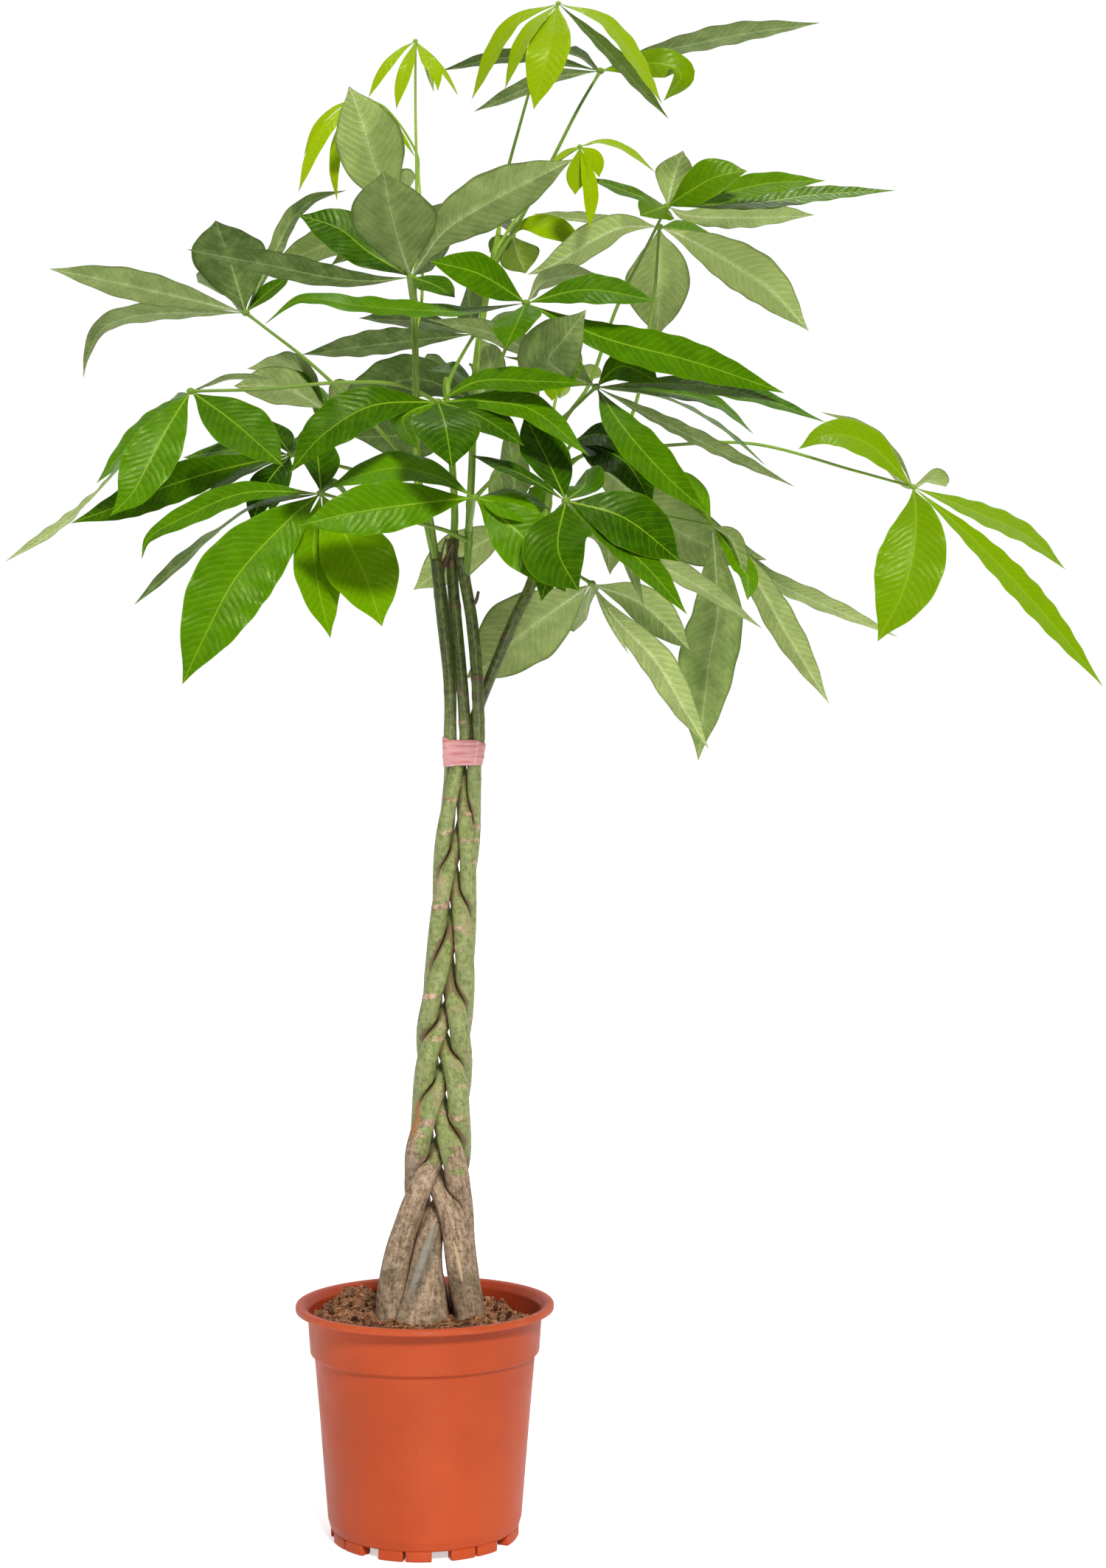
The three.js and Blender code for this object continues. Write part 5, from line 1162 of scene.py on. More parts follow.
class Recipe:
    """Adds shader nodes to a tree and joins them."""

    def __init__(self, tree):
        self.tree = tree

    def add(self, kind, inputs=None, **settings):
        node = self.tree.nodes.new(kind)
        for name, value in settings.items():
            setattr(node, name, value)
        for name, value in (inputs or {}).items():
            self.put(node.inputs[name], value)
        return node

    def put(self, socket, value):
        if isinstance(value, bpy.types.NodeSocket):
            self.tree.links.new(value, socket)
        else:
            socket.default_value = value

    def math(self, operation, a, b=0.0, c=0.0, clamp=False):
        return self.add("ShaderNodeMath", {0: a, 1: b, 2: c}, operation=operation, use_clamp=clamp).outputs[0]

    def plus(self, a, b):
        return self.math("ADD", a, b)

    def times(self, a, b):
        return self.math("MULTIPLY", a, b)

    def about(self, value, size):
        """A value from 0 to 1 moved to lie about 0, times a size."""
        return self.times(self.math("SUBTRACT", value, 0.5), size)

    def ramp(self, value, low, high, start=0.0, end=1.0):
        inputs = {0: value, 1: low, 2: high, 3: start, 4: end}
        return self.add("ShaderNodeMapRange", inputs, interpolation_type="SMOOTHSTEP").outputs[0]

    def mix(self, share, under, over):
        under, over = (v if isinstance(v, bpy.types.NodeSocket) else (*v[:3], 1.0) for v in (under, over))
        return self.add("ShaderNodeMix", {0: share, 6: under, 7: over}, data_type="RGBA").outputs[2]

    def tint(self, under, over, mask, strength):
        """A colour with another over it, as strong as a mask times a strength."""
        return self.mix(self.times(mask, strength), under, over)

    def flecks(self, under, over, place, noise, levels, strength):
        """A colour with flecks of another over it: noise, cut off softly between two levels."""
        return self.mix(self.ramp(self.noise(place, *noise), *levels, 0.0, strength), under, over)

    def value(self, name):
        return self.add("ShaderNodeAttribute", attribute_name=name).outputs["Fac"]

    def map(self):
        return self.add("ShaderNodeUVMap", uv_map="UVMap").outputs[0]

    def place(self):
        return self.add("ShaderNodeTexCoord").outputs["Object"]

    def split(self, place):
        return self.add("ShaderNodeSeparateXYZ", {0: place}).outputs

    def stretch(self, place, scale):
        return self.add("ShaderNodeVectorMath", {0: place, 1: scale}, operation="MULTIPLY").outputs[0]

    def noise(self, place, scale, detail=3.0, rough=0.55):
        inputs = {"Vector": place, "Scale": scale, "Detail": detail, "Roughness": rough}
        return self.add("ShaderNodeTexNoise", inputs).outputs[0]

    def bump(self, height, distance, strength=1.0):
        inputs = {"Height": height, "Distance": distance, "Strength": strength}
        return self.add("ShaderNodeBump", inputs).outputs[0]

    def group(self, tree, inputs):
        return self.add("ShaderNodeGroup", inputs, node_tree=tree).outputs

    def patches(self, place, scale, low, high):
        return self.group(patch_noise(), {"Place": place, "Scale": scale, "Low": low, "High": high})["Mask"]


def shared(name, inputs, outputs, fill):
    """A node group of that name, made once: its sockets, and what `fill` puts between them."""
    group = bpy.data.node_groups.get(name)
    if group is None:
        group = bpy.data.node_groups.new(name, "ShaderNodeTree")
        for label, kind in inputs.items():
            group.interface.new_socket(label, in_out="INPUT", socket_type=f"NodeSocket{kind}")
        for label in outputs:
            group.interface.new_socket(label, in_out="OUTPUT", socket_type="NodeSocketFloat")
        recipe = Recipe(group)
        given, made = recipe.add("NodeGroupInput").outputs, recipe.add("NodeGroupOutput")
        for label, socket in fill(recipe, given).items():
            recipe.put(made.inputs[label], socket)
    return group


def patch_noise():
    """Patches: noise at a scale, cut off softly between two levels."""
    def fill(r, given):
        noise = r.noise(given["Place"], given["Scale"], 4.0, 0.6)
        return {"Mask": r.ramp(noise, given["Low"], given["High"])}
    inputs = {"Place": "Vector", "Scale": "Float", "Low": "Float", "High": "Float"}
    return shared("Patches", inputs, ["Mask"], fill)


def leaf_veins():
    """Leaf veins, from a map in centimetres across and along the blade.

    Side veins lie at even steps along the midrib, swept forward with the distance from it and
    staggered between the two sides; between them the blade swells, crossed by a fine net.
    """
    def fill(r, given):
        place, span = given["Place"], given["Span"]
        across, along, _ = r.split(place)
        away = r.math("ABSOLUTE", across)
        bend = r.about(r.noise(place, 0.9, 1.0), 0.5)
        sweep = r.times(away, r.math("MULTIPLY_ADD", span, 0.42, 0.5))
        stagger = r.times(r.math("GREATER_THAN", across, 0.0), 0.45)
        swept = r.math("SUBTRACT", r.plus(along, bend), sweep)
        near = r.math("PINGPONG", r.plus(r.math("DIVIDE", swept, given["Spacing"]), stagger), 0.5)
        wide = r.math("MULTIPLY_ADD", span, -0.05, 0.1)
        fade = r.ramp(span, 0.86, 1.0, 1.0, 0.0)
        vein = r.times(r.math("SUBTRACT", 1.0, r.ramp(near, 0.012, wide)), fade)
        rib_wide = r.math("MULTIPLY_ADD", given["Along"], -0.08, 0.115)
        rib = r.math("SUBTRACT", 1.0, r.ramp(r.math("DIVIDE", away, rib_wide), 0.45, 1.15))
        cells = r.add("ShaderNodeTexVoronoi", {"Vector": place, "Scale": 4.2}, feature="DISTANCE_TO_EDGE")
        net = r.ramp(cells.outputs["Distance"], 0.02, 0.16, 1.0, 0.0)
        swell = r.math("POWER", r.times(near, 2.0), 0.7)
        swell = r.times(swell, r.times(fade, r.ramp(span, 0.02, 0.2)))
        return {"Rib": rib, "Vein": vein, "Net": net, "Swell": swell}
    inputs = {"Place": "Vector", "Span": "Float", "Along": "Float", "Spacing": "Float"}
    return shared("Leaf veins", inputs, ["Rib", "Vein", "Net", "Swell"], fill)


def bark_grain():
    """Bark grain, from a map round and up the stem: streaks up it, cracks across it and corky specks."""
    def fill(r, given):
        streak = r.noise(r.stretch(given["Place"], (26.0, 3.2, 1.0)), 1.0, 6.0, 0.7)
        speck = r.noise(r.stretch(given["Place"], (12.0, 21.0, 1.0)), 1.0, 4.0, 0.7)
        crack = r.noise(r.stretch(given["Place"], (5.0, 30.0, 1.0)), 1.0, 4.0, 0.7)
        return {"Streak": streak, "Speck": r.ramp(speck, 0.6, 0.7), "Crack": r.ramp(crack, 0.6, 0.72)}
    return shared("Bark grain", {"Place": "Vector"}, ["Streak", "Speck", "Crack"], fill)


def material(name, finish, **constant):
    """A material with a Principled shader: `finish` gives its linked inputs, and the rest stay numbers."""
    made = bpy.data.materials.new(name)
    made.use_nodes = True
    made.node_tree.nodes.clear()
    recipe = Recipe(made.node_tree)
    constant = {key.replace("_", " "): value for key, value in constant.items()}
    shader = recipe.add("ShaderNodeBsdfPrincipled", constant)
    recipe.add("ShaderNodeOutputMaterial", {"Surface": shader.outputs[0]})
    for key, socket in finish(recipe).items():
        recipe.put(shader.inputs[key], socket)
    return made


def leaf_parts(r, settings):
    """What both faces of a leaf use: its map, its veins, its tone, which paints its own green together with light
    and shade, with soft clouds, and its youth.
    """
    place, span, along = r.map(), r.value("span"), r.value("along")
    spacing = settings.vein_spacing / METRE / CENTIMETRE
    veins = r.group(leaf_veins(), {"Place": place, "Span": span, "Along": along, "Spacing": spacing})
    tone = r.plus(r.value("tone"), r.about(r.patches(place, 0.55, 0.3, 0.7), 0.28))
    tone = r.math("ADD", tone, r.about(r.value("own"), 0.18), clamp=True)
    return place, span, veins, tone, r.value("young")


def leaf_upper(settings):
    """Upper leaf face: waxy green from dark to bright, partly its own green and partly painted shade and light,
    swollen between sunken pale veins.
    """
    def finish(r):
        place, span, veins, tone, young = leaf_parts(r, settings)
        # Painted light and shade: the tone mixes the dark green of shaded and old leaves with the bright green of
        # lit and fresh ones.
        green = r.mix(tone, settings.dark, settings.bright)
        green = r.mix(young, green, settings.lime)
        green = r.tint(green, r.mix(young, paint(26, 62, 0), paint(96, 150, 0)), veins["Swell"], 0.12)
        green = r.tint(green, settings.bright, veins["Net"], 0.06)
        green = r.tint(green, r.mix(young, settings.vein, paint(84, 132, 0)), veins["Vein"], 0.2)
        green = r.tint(green, settings.vein, r.ramp(span, 0.95, 1.0), 0.25)
        green = r.tint(green, settings.vein, veins["Rib"], 0.75)
        height = r.plus(veins["Swell"], r.times(veins["Net"], -0.09))
        height = r.plus(height, r.times(r.noise(place, 2.3, 2.0), 0.25))
        rough = r.ramp(r.noise(place, 1.6, 3.0), 0.3, 0.7, 0.22, 0.34)
        return {"Base Color": green, "Roughness": rough, "Normal": r.bump(height, 0.0006, 0.36)}
    return material("leaf_upper", finish, Specular_IOR_Level=0.32, Specular_Tint=(0.85, 1.0, 0.4, 1.0))


def leaf_under(settings):
    """Underside of a leaf: matt grey-green, from painted shade deep in the crown to a pale green painted as light
    shining through, with raised pale veins and a darker margin.
    """
    def finish(r):
        _, span, veins, tone, young = leaf_parts(r, settings)
        # Painted light and shade: the tone mixes a dark underside in the crown's shade with a pale one that light
        # shines through.
        grey = r.mix(tone, settings.under_dark, settings.under_pale)
        grey = r.mix(young, grey, settings.lime)
        pale = r.mix(tone, paint(160, 188, 104), settings.under_vein)
        grey = r.tint(grey, r.mix(young, paint(74, 96, 40), paint(118, 172, 2)), veins["Swell"], 0.36)
        grey = r.tint(grey, pale, veins["Net"], 0.08)
        grey = r.tint(grey, pale, veins["Vein"], 0.6)
        grey = r.tint(grey, paint(66, 96, 24), r.ramp(span, 0.86, 1.0), 0.7)
        grey = r.tint(grey, pale, veins["Rib"], 0.9)
        height = r.plus(r.times(veins["Swell"], -0.35), r.times(veins["Vein"], 0.8))
        height = r.plus(height, r.times(veins["Net"], 0.12))
        return {"Base Color": grey, "Normal": r.bump(height, 0.001, 0.9)}
    return material("leaf_under", finish, Roughness=0.6, Specular_IOR_Level=0.25)


def leaf_stalk(settings):
    """Leaf stalks and hubs: smooth pale green, fresher on young leaves, with faint streaks."""
    def finish(r):
        green = r.tint(settings.stalk, paint(150, 178, 62), r.noise(r.place(), 60.0, 2.0), 0.8)
        green = r.mix(r.value("young"), green, paint(165, 200, 60))
        streak = r.noise(r.stretch(r.map(), (6.0, 0.5, 1.0)), 1.0, 3.0)
        return {"Base Color": green, "Normal": r.bump(streak, 0.0003, 0.5)}
    return material("leaf_stalk", finish, Roughness=0.42)


def smear(r, place, wander, middle, way, wide, long, front, soft, strength):
    """A ragged patch on the bark, seen from the front: long one way, narrow across, and only before a depth."""
    way = unit(np.array([way[0], 0, way[1]], float))
    middle = (middle[0] * METRE, 0, middle[1] * METRE)
    away = r.add("ShaderNodeVectorMath", {0: place, 1: middle}, operation="SUBTRACT").outputs[0]
    reach = []
    for line, half in ((np.cross(way, (0, 1, 0)), wide), (way, long)):
        scale = tuple(line / (half * METRE))
        along = r.add("ShaderNodeVectorMath", {0: away, 1: scale}, operation="DOT_PRODUCT").outputs[1]
        reach.append(r.math("POWER", r.math("ABSOLUTE", along), 2.0))
    far = r.plus(r.plus(*reach), r.times(wander, 3.0))
    before = r.math("LESS_THAN", r.split(place)[1], front)
    return r.times(r.ramp(far, 1 - soft, 1 + soft, strength, 0.0), before)


# The old bark's patches and flecks: each one's noise, its levels, its strength and its colour.
OLD_FLECKS = (
    ((46.0, 6.0, 0.75), (0.54, 0.64), 0.5, (208, 190, 166)),
    ((24.0, 5.0, 0.7), (0.54, 0.66), 0.55, (112, 104, 76)),
    ((480.0, 3.0, 0.7), (0.58, 0.68), 0.6, (78, 58, 42)),
)
# The green bark's, in the same way.
GREEN_FLECKS = (
    ((42.0, 5.0, 0.7), (0.54, 0.66), 0.65, (184, 164, 126)),
    ((560.0, 2.0), (0.6, 0.7), 0.6, (122, 88, 58)),
    ((430.0, 2.0), (0.62, 0.72), 0.5, (204, 192, 146)),
)
# Each smear in front: whether its edge is ragged or wanders, its middle, its way, its half width
# and half length, the depth it lies before, how soft it is, its strength and its colour.
SMEARS = (
    (False, (-8.5, 387.5), (-5, -22), 3.6, 16, 0.0, 0.1, 0.85, (182, 124, 66)),
    (True, (-1, 256), (-21, -60), 7.5, 38, -0.012, 0.7, 0.65, (98, 92, 76)),
    (True, (-2, 258), (-21, -60), 3.2, 32, -0.012, 0.9, 0.6, (176, 172, 160)),
    (True, (32, 258), (7, -35), 1.6, 19, -0.006, 0.12, 0.8, (228, 194, 152)),
)


def stem_bark(settings):
    """Bark: grey-brown above the soil, green with corky scars further up, dark green over the tie, with brown dust
    and painted shade between the strands and painted shade from the crown above the tie.
    """
    def finish(r):
        place = r.place()
        grain = r.group(bark_grain(), {"Place": r.map()})
        streak, crack = grain["Streak"], grain["Crack"]
        height, pressed = r.split(place)[2], r.value("pressed")
        wander = r.math("SUBTRACT", r.noise(place, 34.0, 5.0, 0.62), 0.5)
        mottle = r.noise(place, 190.0, 5.0, 0.72)
        mottled = r.times(mottle, 0.6)
        old = r.ramp(r.plus(mottled, r.times(streak, 0.5)), 0.42, 0.68)
        old = r.mix(old, paint(118, 96, 70), settings.bark)
        for noise, levels, strength, colour in OLD_FLECKS:
            old = r.flecks(old, paint(*colour), place, noise, levels, strength)
        old = r.tint(old, paint(70, 52, 38), crack, 0.4)
        green = r.mix(r.ramp(mottle, 0.3, 0.66), paint(104, 122, 58), settings.green)
        green = r.mix(r.ramp(streak, 0.46, 0.72, 0.0, 0.55), green, paint(182, 188, 136))
        for noise, levels, strength, colour in GREEN_FLECKS:
            green = r.flecks(green, paint(*colour), place, noise, levels, strength)
        # Brown dust and painted shade on the bark where a strand lies near its neighbours.
        dust_and_shade = r.ramp(r.plus(pressed, r.times(wander, 2.4)), 0.45, 0.8)
        green = r.tint(green, paint(124, 100, 70), dust_and_shade, 0.85)
        # Painted shadow: dark brown where the strands touch.
        green = r.mix(r.ramp(pressed, 0.86, 1.0, 0.0, 0.85), green, paint(48, 38, 24))
        ring = r.plus(r.value("scar"), r.about(r.noise(place, 150.0, 4.0, 0.7), 1.5))
        ring = r.times(r.ramp(ring, 0.32, 0.54, 0.0, 0.85), r.math("GREATER_THAN", r.value("scar"), 0.05))
        scar = r.math("MAXIMUM", r.times(grain["Speck"], 0.5), ring)
        green = r.mix(scar, green, r.mix(r.ramp(mottle, 0.4, 0.6), paint(150, 112, 84), paint(220, 188, 158)))
        # Above the tie the green is mottled with a dark olive, partly the bark's own colour and partly painted shade
        # under the crown.
        upper = r.ramp(r.plus(mottled, r.times(streak, 0.4)), 0.38, 0.62)
        upper = r.mix(upper, paint(54, 63, 27), settings.upper)
        above = r.ramp(r.plus(height, r.times(wander, 0.08)), 0.73, 0.8)
        green = r.mix(above, green, r.mix(scar, upper, paint(112, 84, 60)))
        edge = r.plus(r.plus(height, r.times(wander, 0.2)), r.about(r.value("own"), 0.02))
        patch = r.ramp(edge, 0.356, 0.361)
        bark = r.mix(patch, old, green)
        ragged = r.about(r.noise(place, 260.0, 4.0, 0.7), 0.8)
        for torn, middle, way, wide, long, front, soft, strength, colour in SMEARS:
            mask = smear(r, place, ragged if torn else wander, middle, way, wide, long, front, soft, strength)
            bark = r.mix(mask, bark, paint(*colour))
        bark = r.tint(bark, paint(126, 92, 62), r.value("cut"), 0.9)
        relief = r.times(streak, r.ramp(patch, 0.0, 1.0, 1.0, 0.12))
        relief = r.plus(relief, r.times(mottle, 0.3))
        relief = r.plus(relief, r.times(crack, r.ramp(patch, 0.0, 1.0, -0.5, 0.0)))
        relief = r.plus(relief, r.plus(r.times(scar, 0.3), r.times(patch, -0.25)))
        rough = r.ramp(patch, 0.0, 1.0, 0.74, 0.4)
        return {"Base Color": bark, "Roughness": rough, "Normal": r.bump(relief, 0.0012, 0.8)}
    return material("stem_bark", finish)


def shoot_skin(settings):
    """Green shoots above the cut stems, with fine pale streaks."""
    def finish(r):
        streak = r.noise(r.stretch(r.map(), (7.0, 0.35, 1.0)), 1.0, 4.0)
        green = r.mix(r.ramp(streak, 0.35, 0.65), paint(104, 136, 40), settings.shoot)
        green = r.flecks(green, paint(136, 122, 74), r.place(), (90.0, 3.0), (0.6, 0.72), 0.6)
        return {"Base Color": green, "Normal": r.bump(streak, 0.0005, 0.6)}
    return material("shoot_skin", finish, Roughness=0.5)


def dry_twig():
    """Dry twigs and stubs beside the cuts."""
    def finish(r):
        streak = r.noise(r.stretch(r.map(), (5.0, 1.2, 1.0)), 1.0, 4.0)
        brown = r.mix(r.ramp(streak, 0.3, 0.7), paint(66, 48, 34), paint(138, 108, 78))
        return {"Base Color": brown, "Normal": r.bump(streak, 0.0008)}
    return material("dry_twig", finish, Roughness=0.85)


def tie_tape(settings):
    """Stretched pink tape: glossy, with pale stretch lines and darker folds along it."""
    def finish(r):
        place = r.place()
        lines = r.noise(r.stretch(place, (30.0, 30.0, 620.0)), 1.0, 3.0)
        pink = r.mix(r.ramp(lines, 0.3, 0.5), settings.fold, settings.colour)
        stretched = r.stretch(place, (60.0, 60.0, 260.0))
        pink = r.flecks(pink, paint(250, 205, 205), stretched, (1.0, 2.0), (0.55, 0.8), 0.7)
        rough = r.ramp(lines, 0.3, 0.7, 0.42, 0.26)
        return {"Base Color": pink, "Roughness": rough, "Normal": r.bump(lines, 0.0008, 0.6)}
    return material("tie_tape", finish, Coat_Weight=0.3, Coat_Roughness=0.2)


def pot_plastic(settings):
    """Moulded terracotta-coloured plastic: satin, with faint clouding, fine pits, scuffs on the rim and painted
    shade on the inner wall.
    """
    def finish(r):
        place = r.place()
        colour = r.mix(r.ramp(r.noise(place, 9.0, 3.0), 0.3, 0.7), settings.shade, settings.colour)
        # Painted shade: the inner wall is darker red, as the rim shades it.
        colour = r.tint(colour, paint(150, 50, 26), r.value("inside"), 0.75)
        pits = r.patches(place, 420.0, 0.62, 0.72)
        colour = r.tint(colour, paint(214, 128, 98), pits, 0.3)
        scuff = r.patches(r.stretch(place, (1.0, 1.0, 3.0)), 60.0, 0.5, 0.8)
        scuff = r.math("MULTIPLY_ADD", scuff, 0.2, 0.05)
        rim = r.ramp(r.split(place)[2], 0.2085, 0.2115)
        colour = r.tint(colour, paint(222, 132, 100), rim, scuff)
        streak = r.noise(r.stretch(place, (260.0, 260.0, 9.0)), 1.0, 2.0)
        rough = r.plus(r.ramp(r.noise(place, 34.0, 4.0), 0.3, 0.7, 0.34, 0.44), r.times(streak, 0.06))
        grain = r.plus(r.noise(place, 700.0, 2.0), r.times(pits, 0.6))
        return {"Base Color": colour, "Roughness": rough, "Normal": r.bump(grain, 0.00016, 0.35)}
    return material("pot_plastic", finish, Specular_IOR_Level=0.32)


def potting_soil(settings):
    """Potting soil: dark to reddish brown by crumb, with straw-coloured fibres."""
    def finish(r):
        place, shade = r.place(), r.value("shade")
        mixed = r.plus(r.times(r.noise(place, 170.0, 4.0, 0.7), 0.9), r.times(shade, 0.42))
        brown = r.mix(r.ramp(mixed, 0.42, 1.0), settings.dark, settings.light)
        brown = r.flecks(brown, paint(168, 122, 88), place, (420.0, 2.0), (0.62, 0.72), 0.7)
        brown = r.mix(r.ramp(shade, 1.2, 1.8), brown, settings.fibre)
        return {"Base Color": brown, "Normal": r.bump(r.noise(place, 380.0, 4.0, 0.7), 0.0022, 0.8)}
    return material("potting_soil", finish, Roughness=0.92)


def stage_floor(settings):
    """A plain pale floor with a trace of unevenness, which shines more to the eye than on the tree."""
    def finish(r):
        straight = r.add("ShaderNodeLightPath").outputs["Is Camera Ray"]
        return {
            "Base Color": r.mix(r.noise(r.place(), 1.5, 2.0), settings.floor, paint(252, 252, 252)),
            "Emission Color": r.mix(straight, paint(90, 90, 90), paint(255, 255, 255)),
        }
    return material("stage_floor", finish, Roughness=0.8, Emission_Strength=settings.glow)


# Settings


def colour(name, description, *shown):
    return FloatVectorProperty(
        name=name, description=description, default=paint(*shown), size=3, min=0, max=1, subtype="COLOR",
    )


def length(name, description, default, least, most):
    return FloatProperty(
        name=name, description=description, default=default, min=least, max=most, precision=4, unit="LENGTH",
    )


def power(name, description, default, most):
    return FloatProperty(name=name, description=description, default=default, min=0, max=most)


def count(name, description, default, least, most):
    return IntProperty(name=name, description=description, default=default, min=least, max=most)


class PotSettings(PropertyGroup):
    wall: length("Wall", "Thickness of the pot's wall", POT["wall"] * METRE, 0.0008, 0.004)
    colour: colour("Colour", "Colour of the pot's plastic", 202, 82, 34)
    shade: colour("Clouding", "Colour of the faint clouds in the plastic", 188, 72, 28)


class SoilSettings(PropertyGroup):
    crumbs: count("Crumbs", "How many loose crumbs lie on the soil", 1300, 0, 2000)
    fibres: count("Fibres", "How many dry fibres lie on the soil", 140, 0, 300)
    dark: colour("Dark", "Colour of damp soil in the hollows", 56, 30, 16)
    light: colour("Light", "Colour of the dry crumbs", 198, 138, 98)
    fibre: colour("Fibre", "Colour of the dry fibres", 186, 138, 94)


class StemSettings(PropertyGroup):
    rays: count("Columns", "How many columns a stem's surface has", 28, 12, 64)
    relief: length("Scar height", "How far the leaf-scar rings stand out", 0.0005, 0, 0.002)
    bark: colour("Old bark", "Colour of the bark above the soil", 206, 178, 148)
    green: colour("Green bark", "Colour of the bark up to the tie", 160, 170, 102)
    upper: colour("Upper bark", "Colour of the bark above the tie", 112, 128, 48)
    shoot: colour("Shoot", "Colour of the green shoots", 150, 186, 62)


class TieSettings(PropertyGroup):
    thick: length("Thickness", "Thickness of the wound tape", TIE["thick"] * METRE, 0.0008, 0.003)
    colour: colour("Colour", "Colour of the tape", 250, 176, 176)
    fold: colour("Fold", "Colour of the tape's folds", 220, 124, 128)


class LeafSettings(PropertyGroup):
    ripple: FloatProperty(
        name="Ripple", description="How far the margins wave, as a share of the half width",
        default=0.04, min=0, max=0.2, subtype="FACTOR",
    )
    vein_spacing: length("Vein spacing", "Distance between side veins on the midrib", 0.0078, 0.004, 0.02)
    # Besides the leaves' own colours, the dark green and the dark underside paint shade deep in the crown, and the
    # pale underside paints light shining through a leaf.
    dark: colour("Dark green", "Colour of the upper faces of old leaves", 28, 68, 0)
    bright: colour("Bright green", "Colour of the upper faces of fresh leaves", 96, 150, 0)
    vein: colour("Veins", "Colour of the veins on the upper faces", 152, 186, 46)
    lime: colour("Young leaves", "Colour of the youngest leaves", 170, 198, 0)
    under_dark: colour("Dark underside", "Colour of the undersides in the crown", 92, 120, 46)
    under_pale: colour("Pale underside", "Colour of undersides that the light comes through", 220, 242, 140)
    under_vein: colour("Underside veins", "Colour of the veins on the undersides", 244, 252, 206)
    stalk: colour("Stalks", "Colour of the leaf stalks", 108, 146, 44)


class StageSettings(PropertyGroup):
    floor: colour("Floor", "Colour of the floor", 246, 246, 246)
    glow: power("Floor glow", "How far the floor shines by itself, as a light table does", 0.55, 2)
    sky: power("Sky", "Strength of the light from the white backdrop", 0.6, 4)
    key: power("Key light", "Strength of the large light from the front, above", 2.6, 20)


# Operators


class MONEYTREE_OT_pot(Operator):
    """Build the pot with its rim, band, feet and drain holes"""
    bl_idname = "money_tree.build_pot"
    bl_label = "Build Pot"
    bl_options = {"REGISTER", "UNDO"}

    def execute(self, context):
        settings = context.scene.money_tree_pot
        pot_form(settings).make("pot_moulded", [pot_plastic(settings)], "pot_plastic", "pot")
        return {"FINISHED"}


class MONEYTREE_OT_soil(Operator):
    """Build the soil with its crumbs and fibres"""
    bl_idname = "money_tree.build_soil"
    bl_label = "Build Soil"
    bl_options = {"REGISTER", "UNDO"}

    def execute(self, context):
        settings = context.scene.money_tree_soil
        soil_form(settings).make("soil_bed", [potting_soil(settings)], "soil", "soil")
        return {"FINISHED"}


class MONEYTREE_OT_stems(Operator):
    """Build the five braided stems with their green shoots"""
    bl_idname = "money_tree.build_stems"
    bl_label = "Build Stems"
    bl_options = {"REGISTER", "UNDO"}

    def execute(self, context):
        settings = context.scene.money_tree_stems
        skins = [stem_bark(settings), shoot_skin(settings), dry_twig()]
        for name in STEMS:
            stem_form(name, settings).make(f"{name}_bark", skins, "bark", name)
        return {"FINISHED"}


class MONEYTREE_OT_tie(Operator):
    """Build the tape that holds the stems together"""
    bl_idname = "money_tree.build_tie"
    bl_label = "Build Tie"
    bl_options = {"REGISTER", "UNDO"}

    def execute(self, context):
        settings = context.scene.money_tree_tie
        tie_form(settings).make("tie_wound", [tie_tape(settings)], "tie_tape", "tie")
        return {"FINISHED"}


class MONEYTREE_OT_leaves(Operator):
    """Build every leaf with its stalk, hub and veined leaflets"""
    bl_idname = "money_tree.build_leaves"
    bl_label = "Build Leaves"
    bl_options = {"REGISTER", "UNDO"}

    def execute(self, context):
        settings = context.scene.money_tree_leaves
        skins = [leaf_upper(settings), leaf_under(settings), leaf_stalk(settings)]
        for name in LEAVES:
            leaf_form(name, settings).make(f"{name}_grown", skins, "leaf", name, crease="span")
        return {"FINISHED"}


# Each lamp: its rise, its turn from the front, its spread, its strength beside the key light, and
# whether it only shows as a gloss, as a narrow softbox does, or only lights.
LAMPS = (
    ("key", 40, 18, 12, 1.0, False),
    ("fill", 20, -45, 50, 0.16, False),
    ("rear", 62, 165, 60, 0.3, False),
    ("low_gloss", 2, 8, 6, 0.3, True),
    ("high_gloss", 58, -20, 9, 0.22, True),
    ("rear_gloss", 71, 173, 9, 0.08, True),
)
FLOOR_REACH = 30000.0


def white_world(settings):
    """White surroundings, which light the tree less from the eye's side and look plain white."""
    world = bpy.data.worlds.new("white_surroundings")
    world.use_nodes = True
    r, white = Recipe(world.node_tree), world.node_tree.nodes["Background"]
    straight = r.add("ShaderNodeLightPath").outputs["Is Camera Ray"]
    behind = r.split(r.add("ShaderNodeTexCoord").outputs["Generated"])[1]
    around = r.ramp(behind, -0.1, 0.8, 0.1 * settings.sky, settings.sky)
    r.put(white.inputs["Color"], (1, 1, 1, 1))
    r.put(white.inputs["Strength"], r.plus(around, r.times(straight, r.math("SUBTRACT", 1.02, around))))
    return world


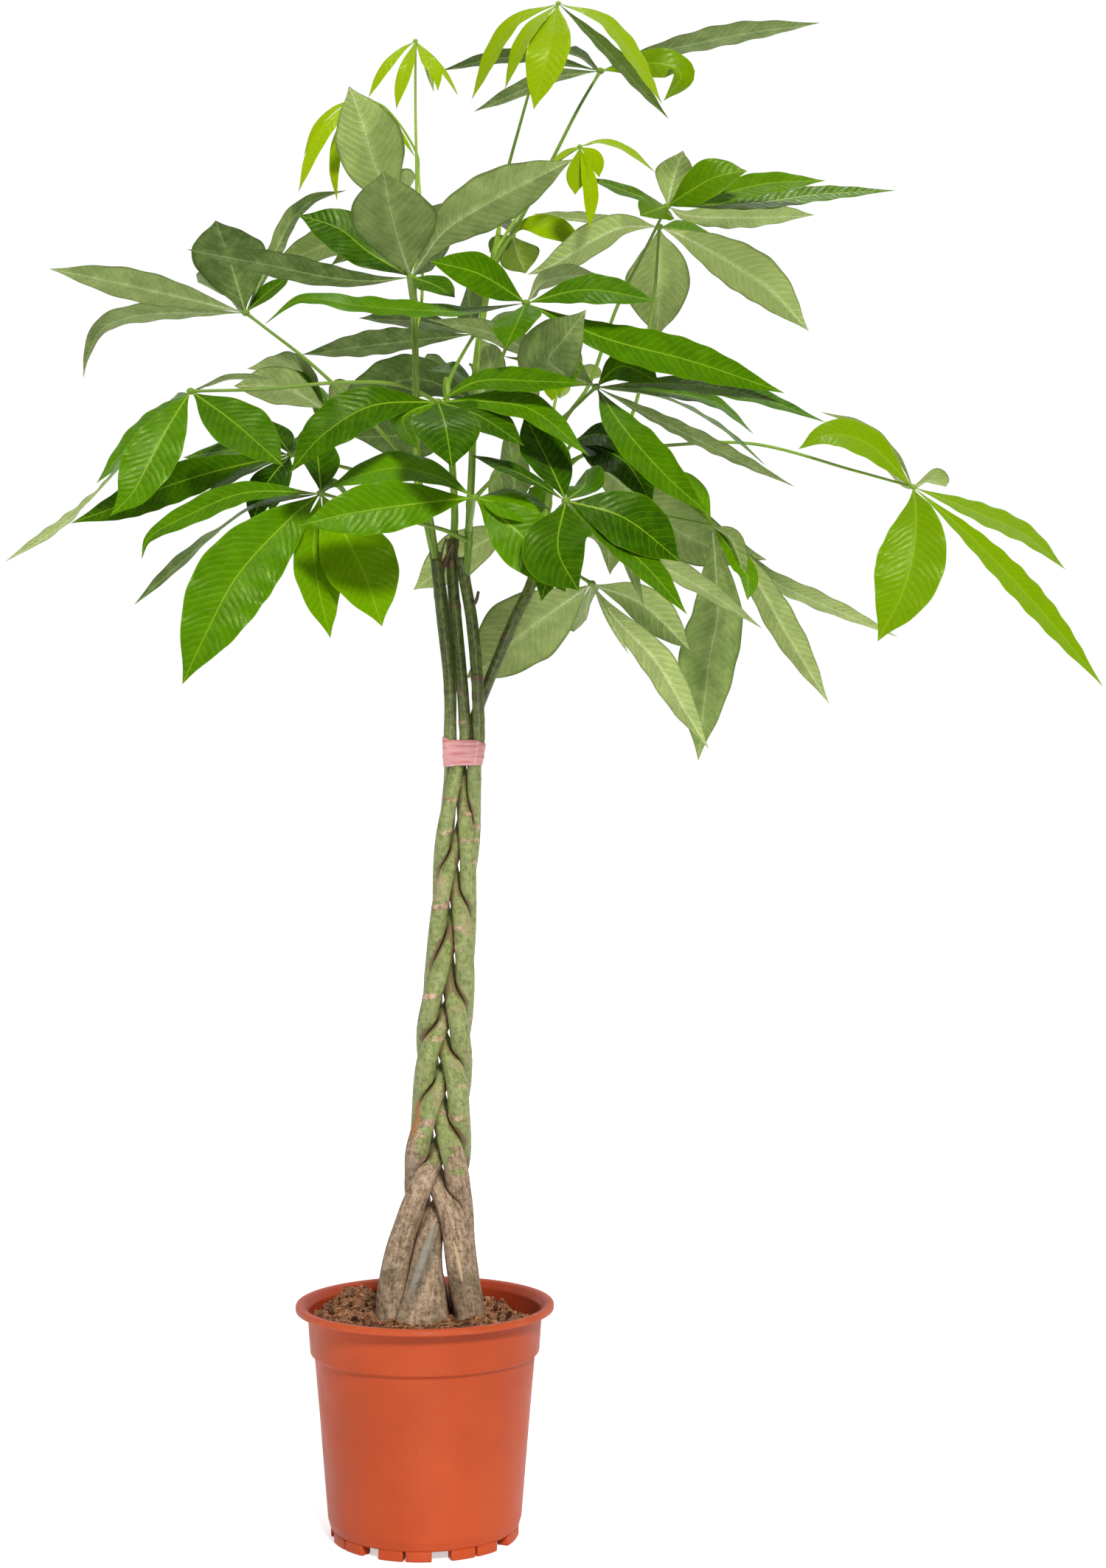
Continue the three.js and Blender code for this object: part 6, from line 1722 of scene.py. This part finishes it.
class MONEYTREE_OT_stage(Operator):
    """Build the pale floor, the white surroundings, the lights and the camera"""
    bl_idname = "money_tree.build_stage"
    bl_label = "Build Stage"
    bl_options = {"REGISTER", "UNDO"}

    def execute(self, context):
        scene, settings = context.scene, context.scene.money_tree_stage
        floor, line = Form(), np.linspace(-FLOOR_REACH, FLOOR_REACH, 9)
        across, deep = np.meshgrid(line, line)
        floor.grid(np.stack([across, deep, 0 * across], -1))
        floor.make("floor", [stage_floor(settings)], None)
        scene.world = white_world(settings)
        for name, rise, turn, spread, strength, shine in LAMPS:
            lamp = bpy.data.lights.new(name, "SUN")
            lamp.energy, lamp.angle = settings.key * strength, radians(spread)
            holder = bpy.data.objects.new(name, lamp)
            holder.rotation_euler = (radians(90 - rise), 0, radians(turn))
            holder.visible_diffuse, holder.visible_glossy = not shine, shine
            scene.collection.objects.link(holder)
        camera = bpy.data.objects.new("camera", bpy.data.cameras.new("camera"))
        camera.data.lens, camera.data.sensor_width, camera.data.clip_end = LENS, 36, 200
        camera.location, camera.rotation_euler = EYE * METRE, (radians(90), 0, 0)
        scene.collection.objects.link(camera)
        scene.camera = camera
        scene.view_settings.view_transform = "Standard"
        return {"FINISHED"}


class MONEYTREE_PT_panel(Panel):
    """The money tree's pieces and their settings"""
    bl_label = "Potted Money Tree"
    bl_space_type = "VIEW_3D"
    bl_region_type = "UI"
    bl_category = "Money Tree"

    def draw(self, context):
        for held, (_, operator) in SETTINGS.items():
            box = self.layout.box()
            settings = getattr(context.scene, held)
            for name in settings.__annotations__:
                box.prop(settings, name)
            box.operator(operator.bl_idname)


# Each scene property: the settings it holds, and the operator that uses them.
SETTINGS = {
    "money_tree_pot": (PotSettings, MONEYTREE_OT_pot),
    "money_tree_soil": (SoilSettings, MONEYTREE_OT_soil),
    "money_tree_stems": (StemSettings, MONEYTREE_OT_stems),
    "money_tree_tie": (TieSettings, MONEYTREE_OT_tie),
    "money_tree_leaves": (LeafSettings, MONEYTREE_OT_leaves),
    "money_tree_stage": (StageSettings, MONEYTREE_OT_stage),
}
CLASSES = (*(one for pair in SETTINGS.values() for one in pair), MONEYTREE_PT_panel)


def register():
    for one in CLASSES:
        bpy.utils.register_class(one)
    for name, (kind, _) in SETTINGS.items():
        setattr(bpy.types.Scene, name, PointerProperty(type=kind))


def unregister():
    for name in SETTINGS:
        delattr(bpy.types.Scene, name)
    for one in reversed(CLASSES):
        bpy.utils.unregister_class(one)


def main():
    register()
    bpy.ops.money_tree.build_pot()
    bpy.ops.money_tree.build_soil()
    bpy.ops.money_tree.build_stems()
    bpy.ops.money_tree.build_tie()
    bpy.ops.money_tree.build_leaves()
    bpy.ops.money_tree.build_stage()


if __name__ == "__main__":
    main()
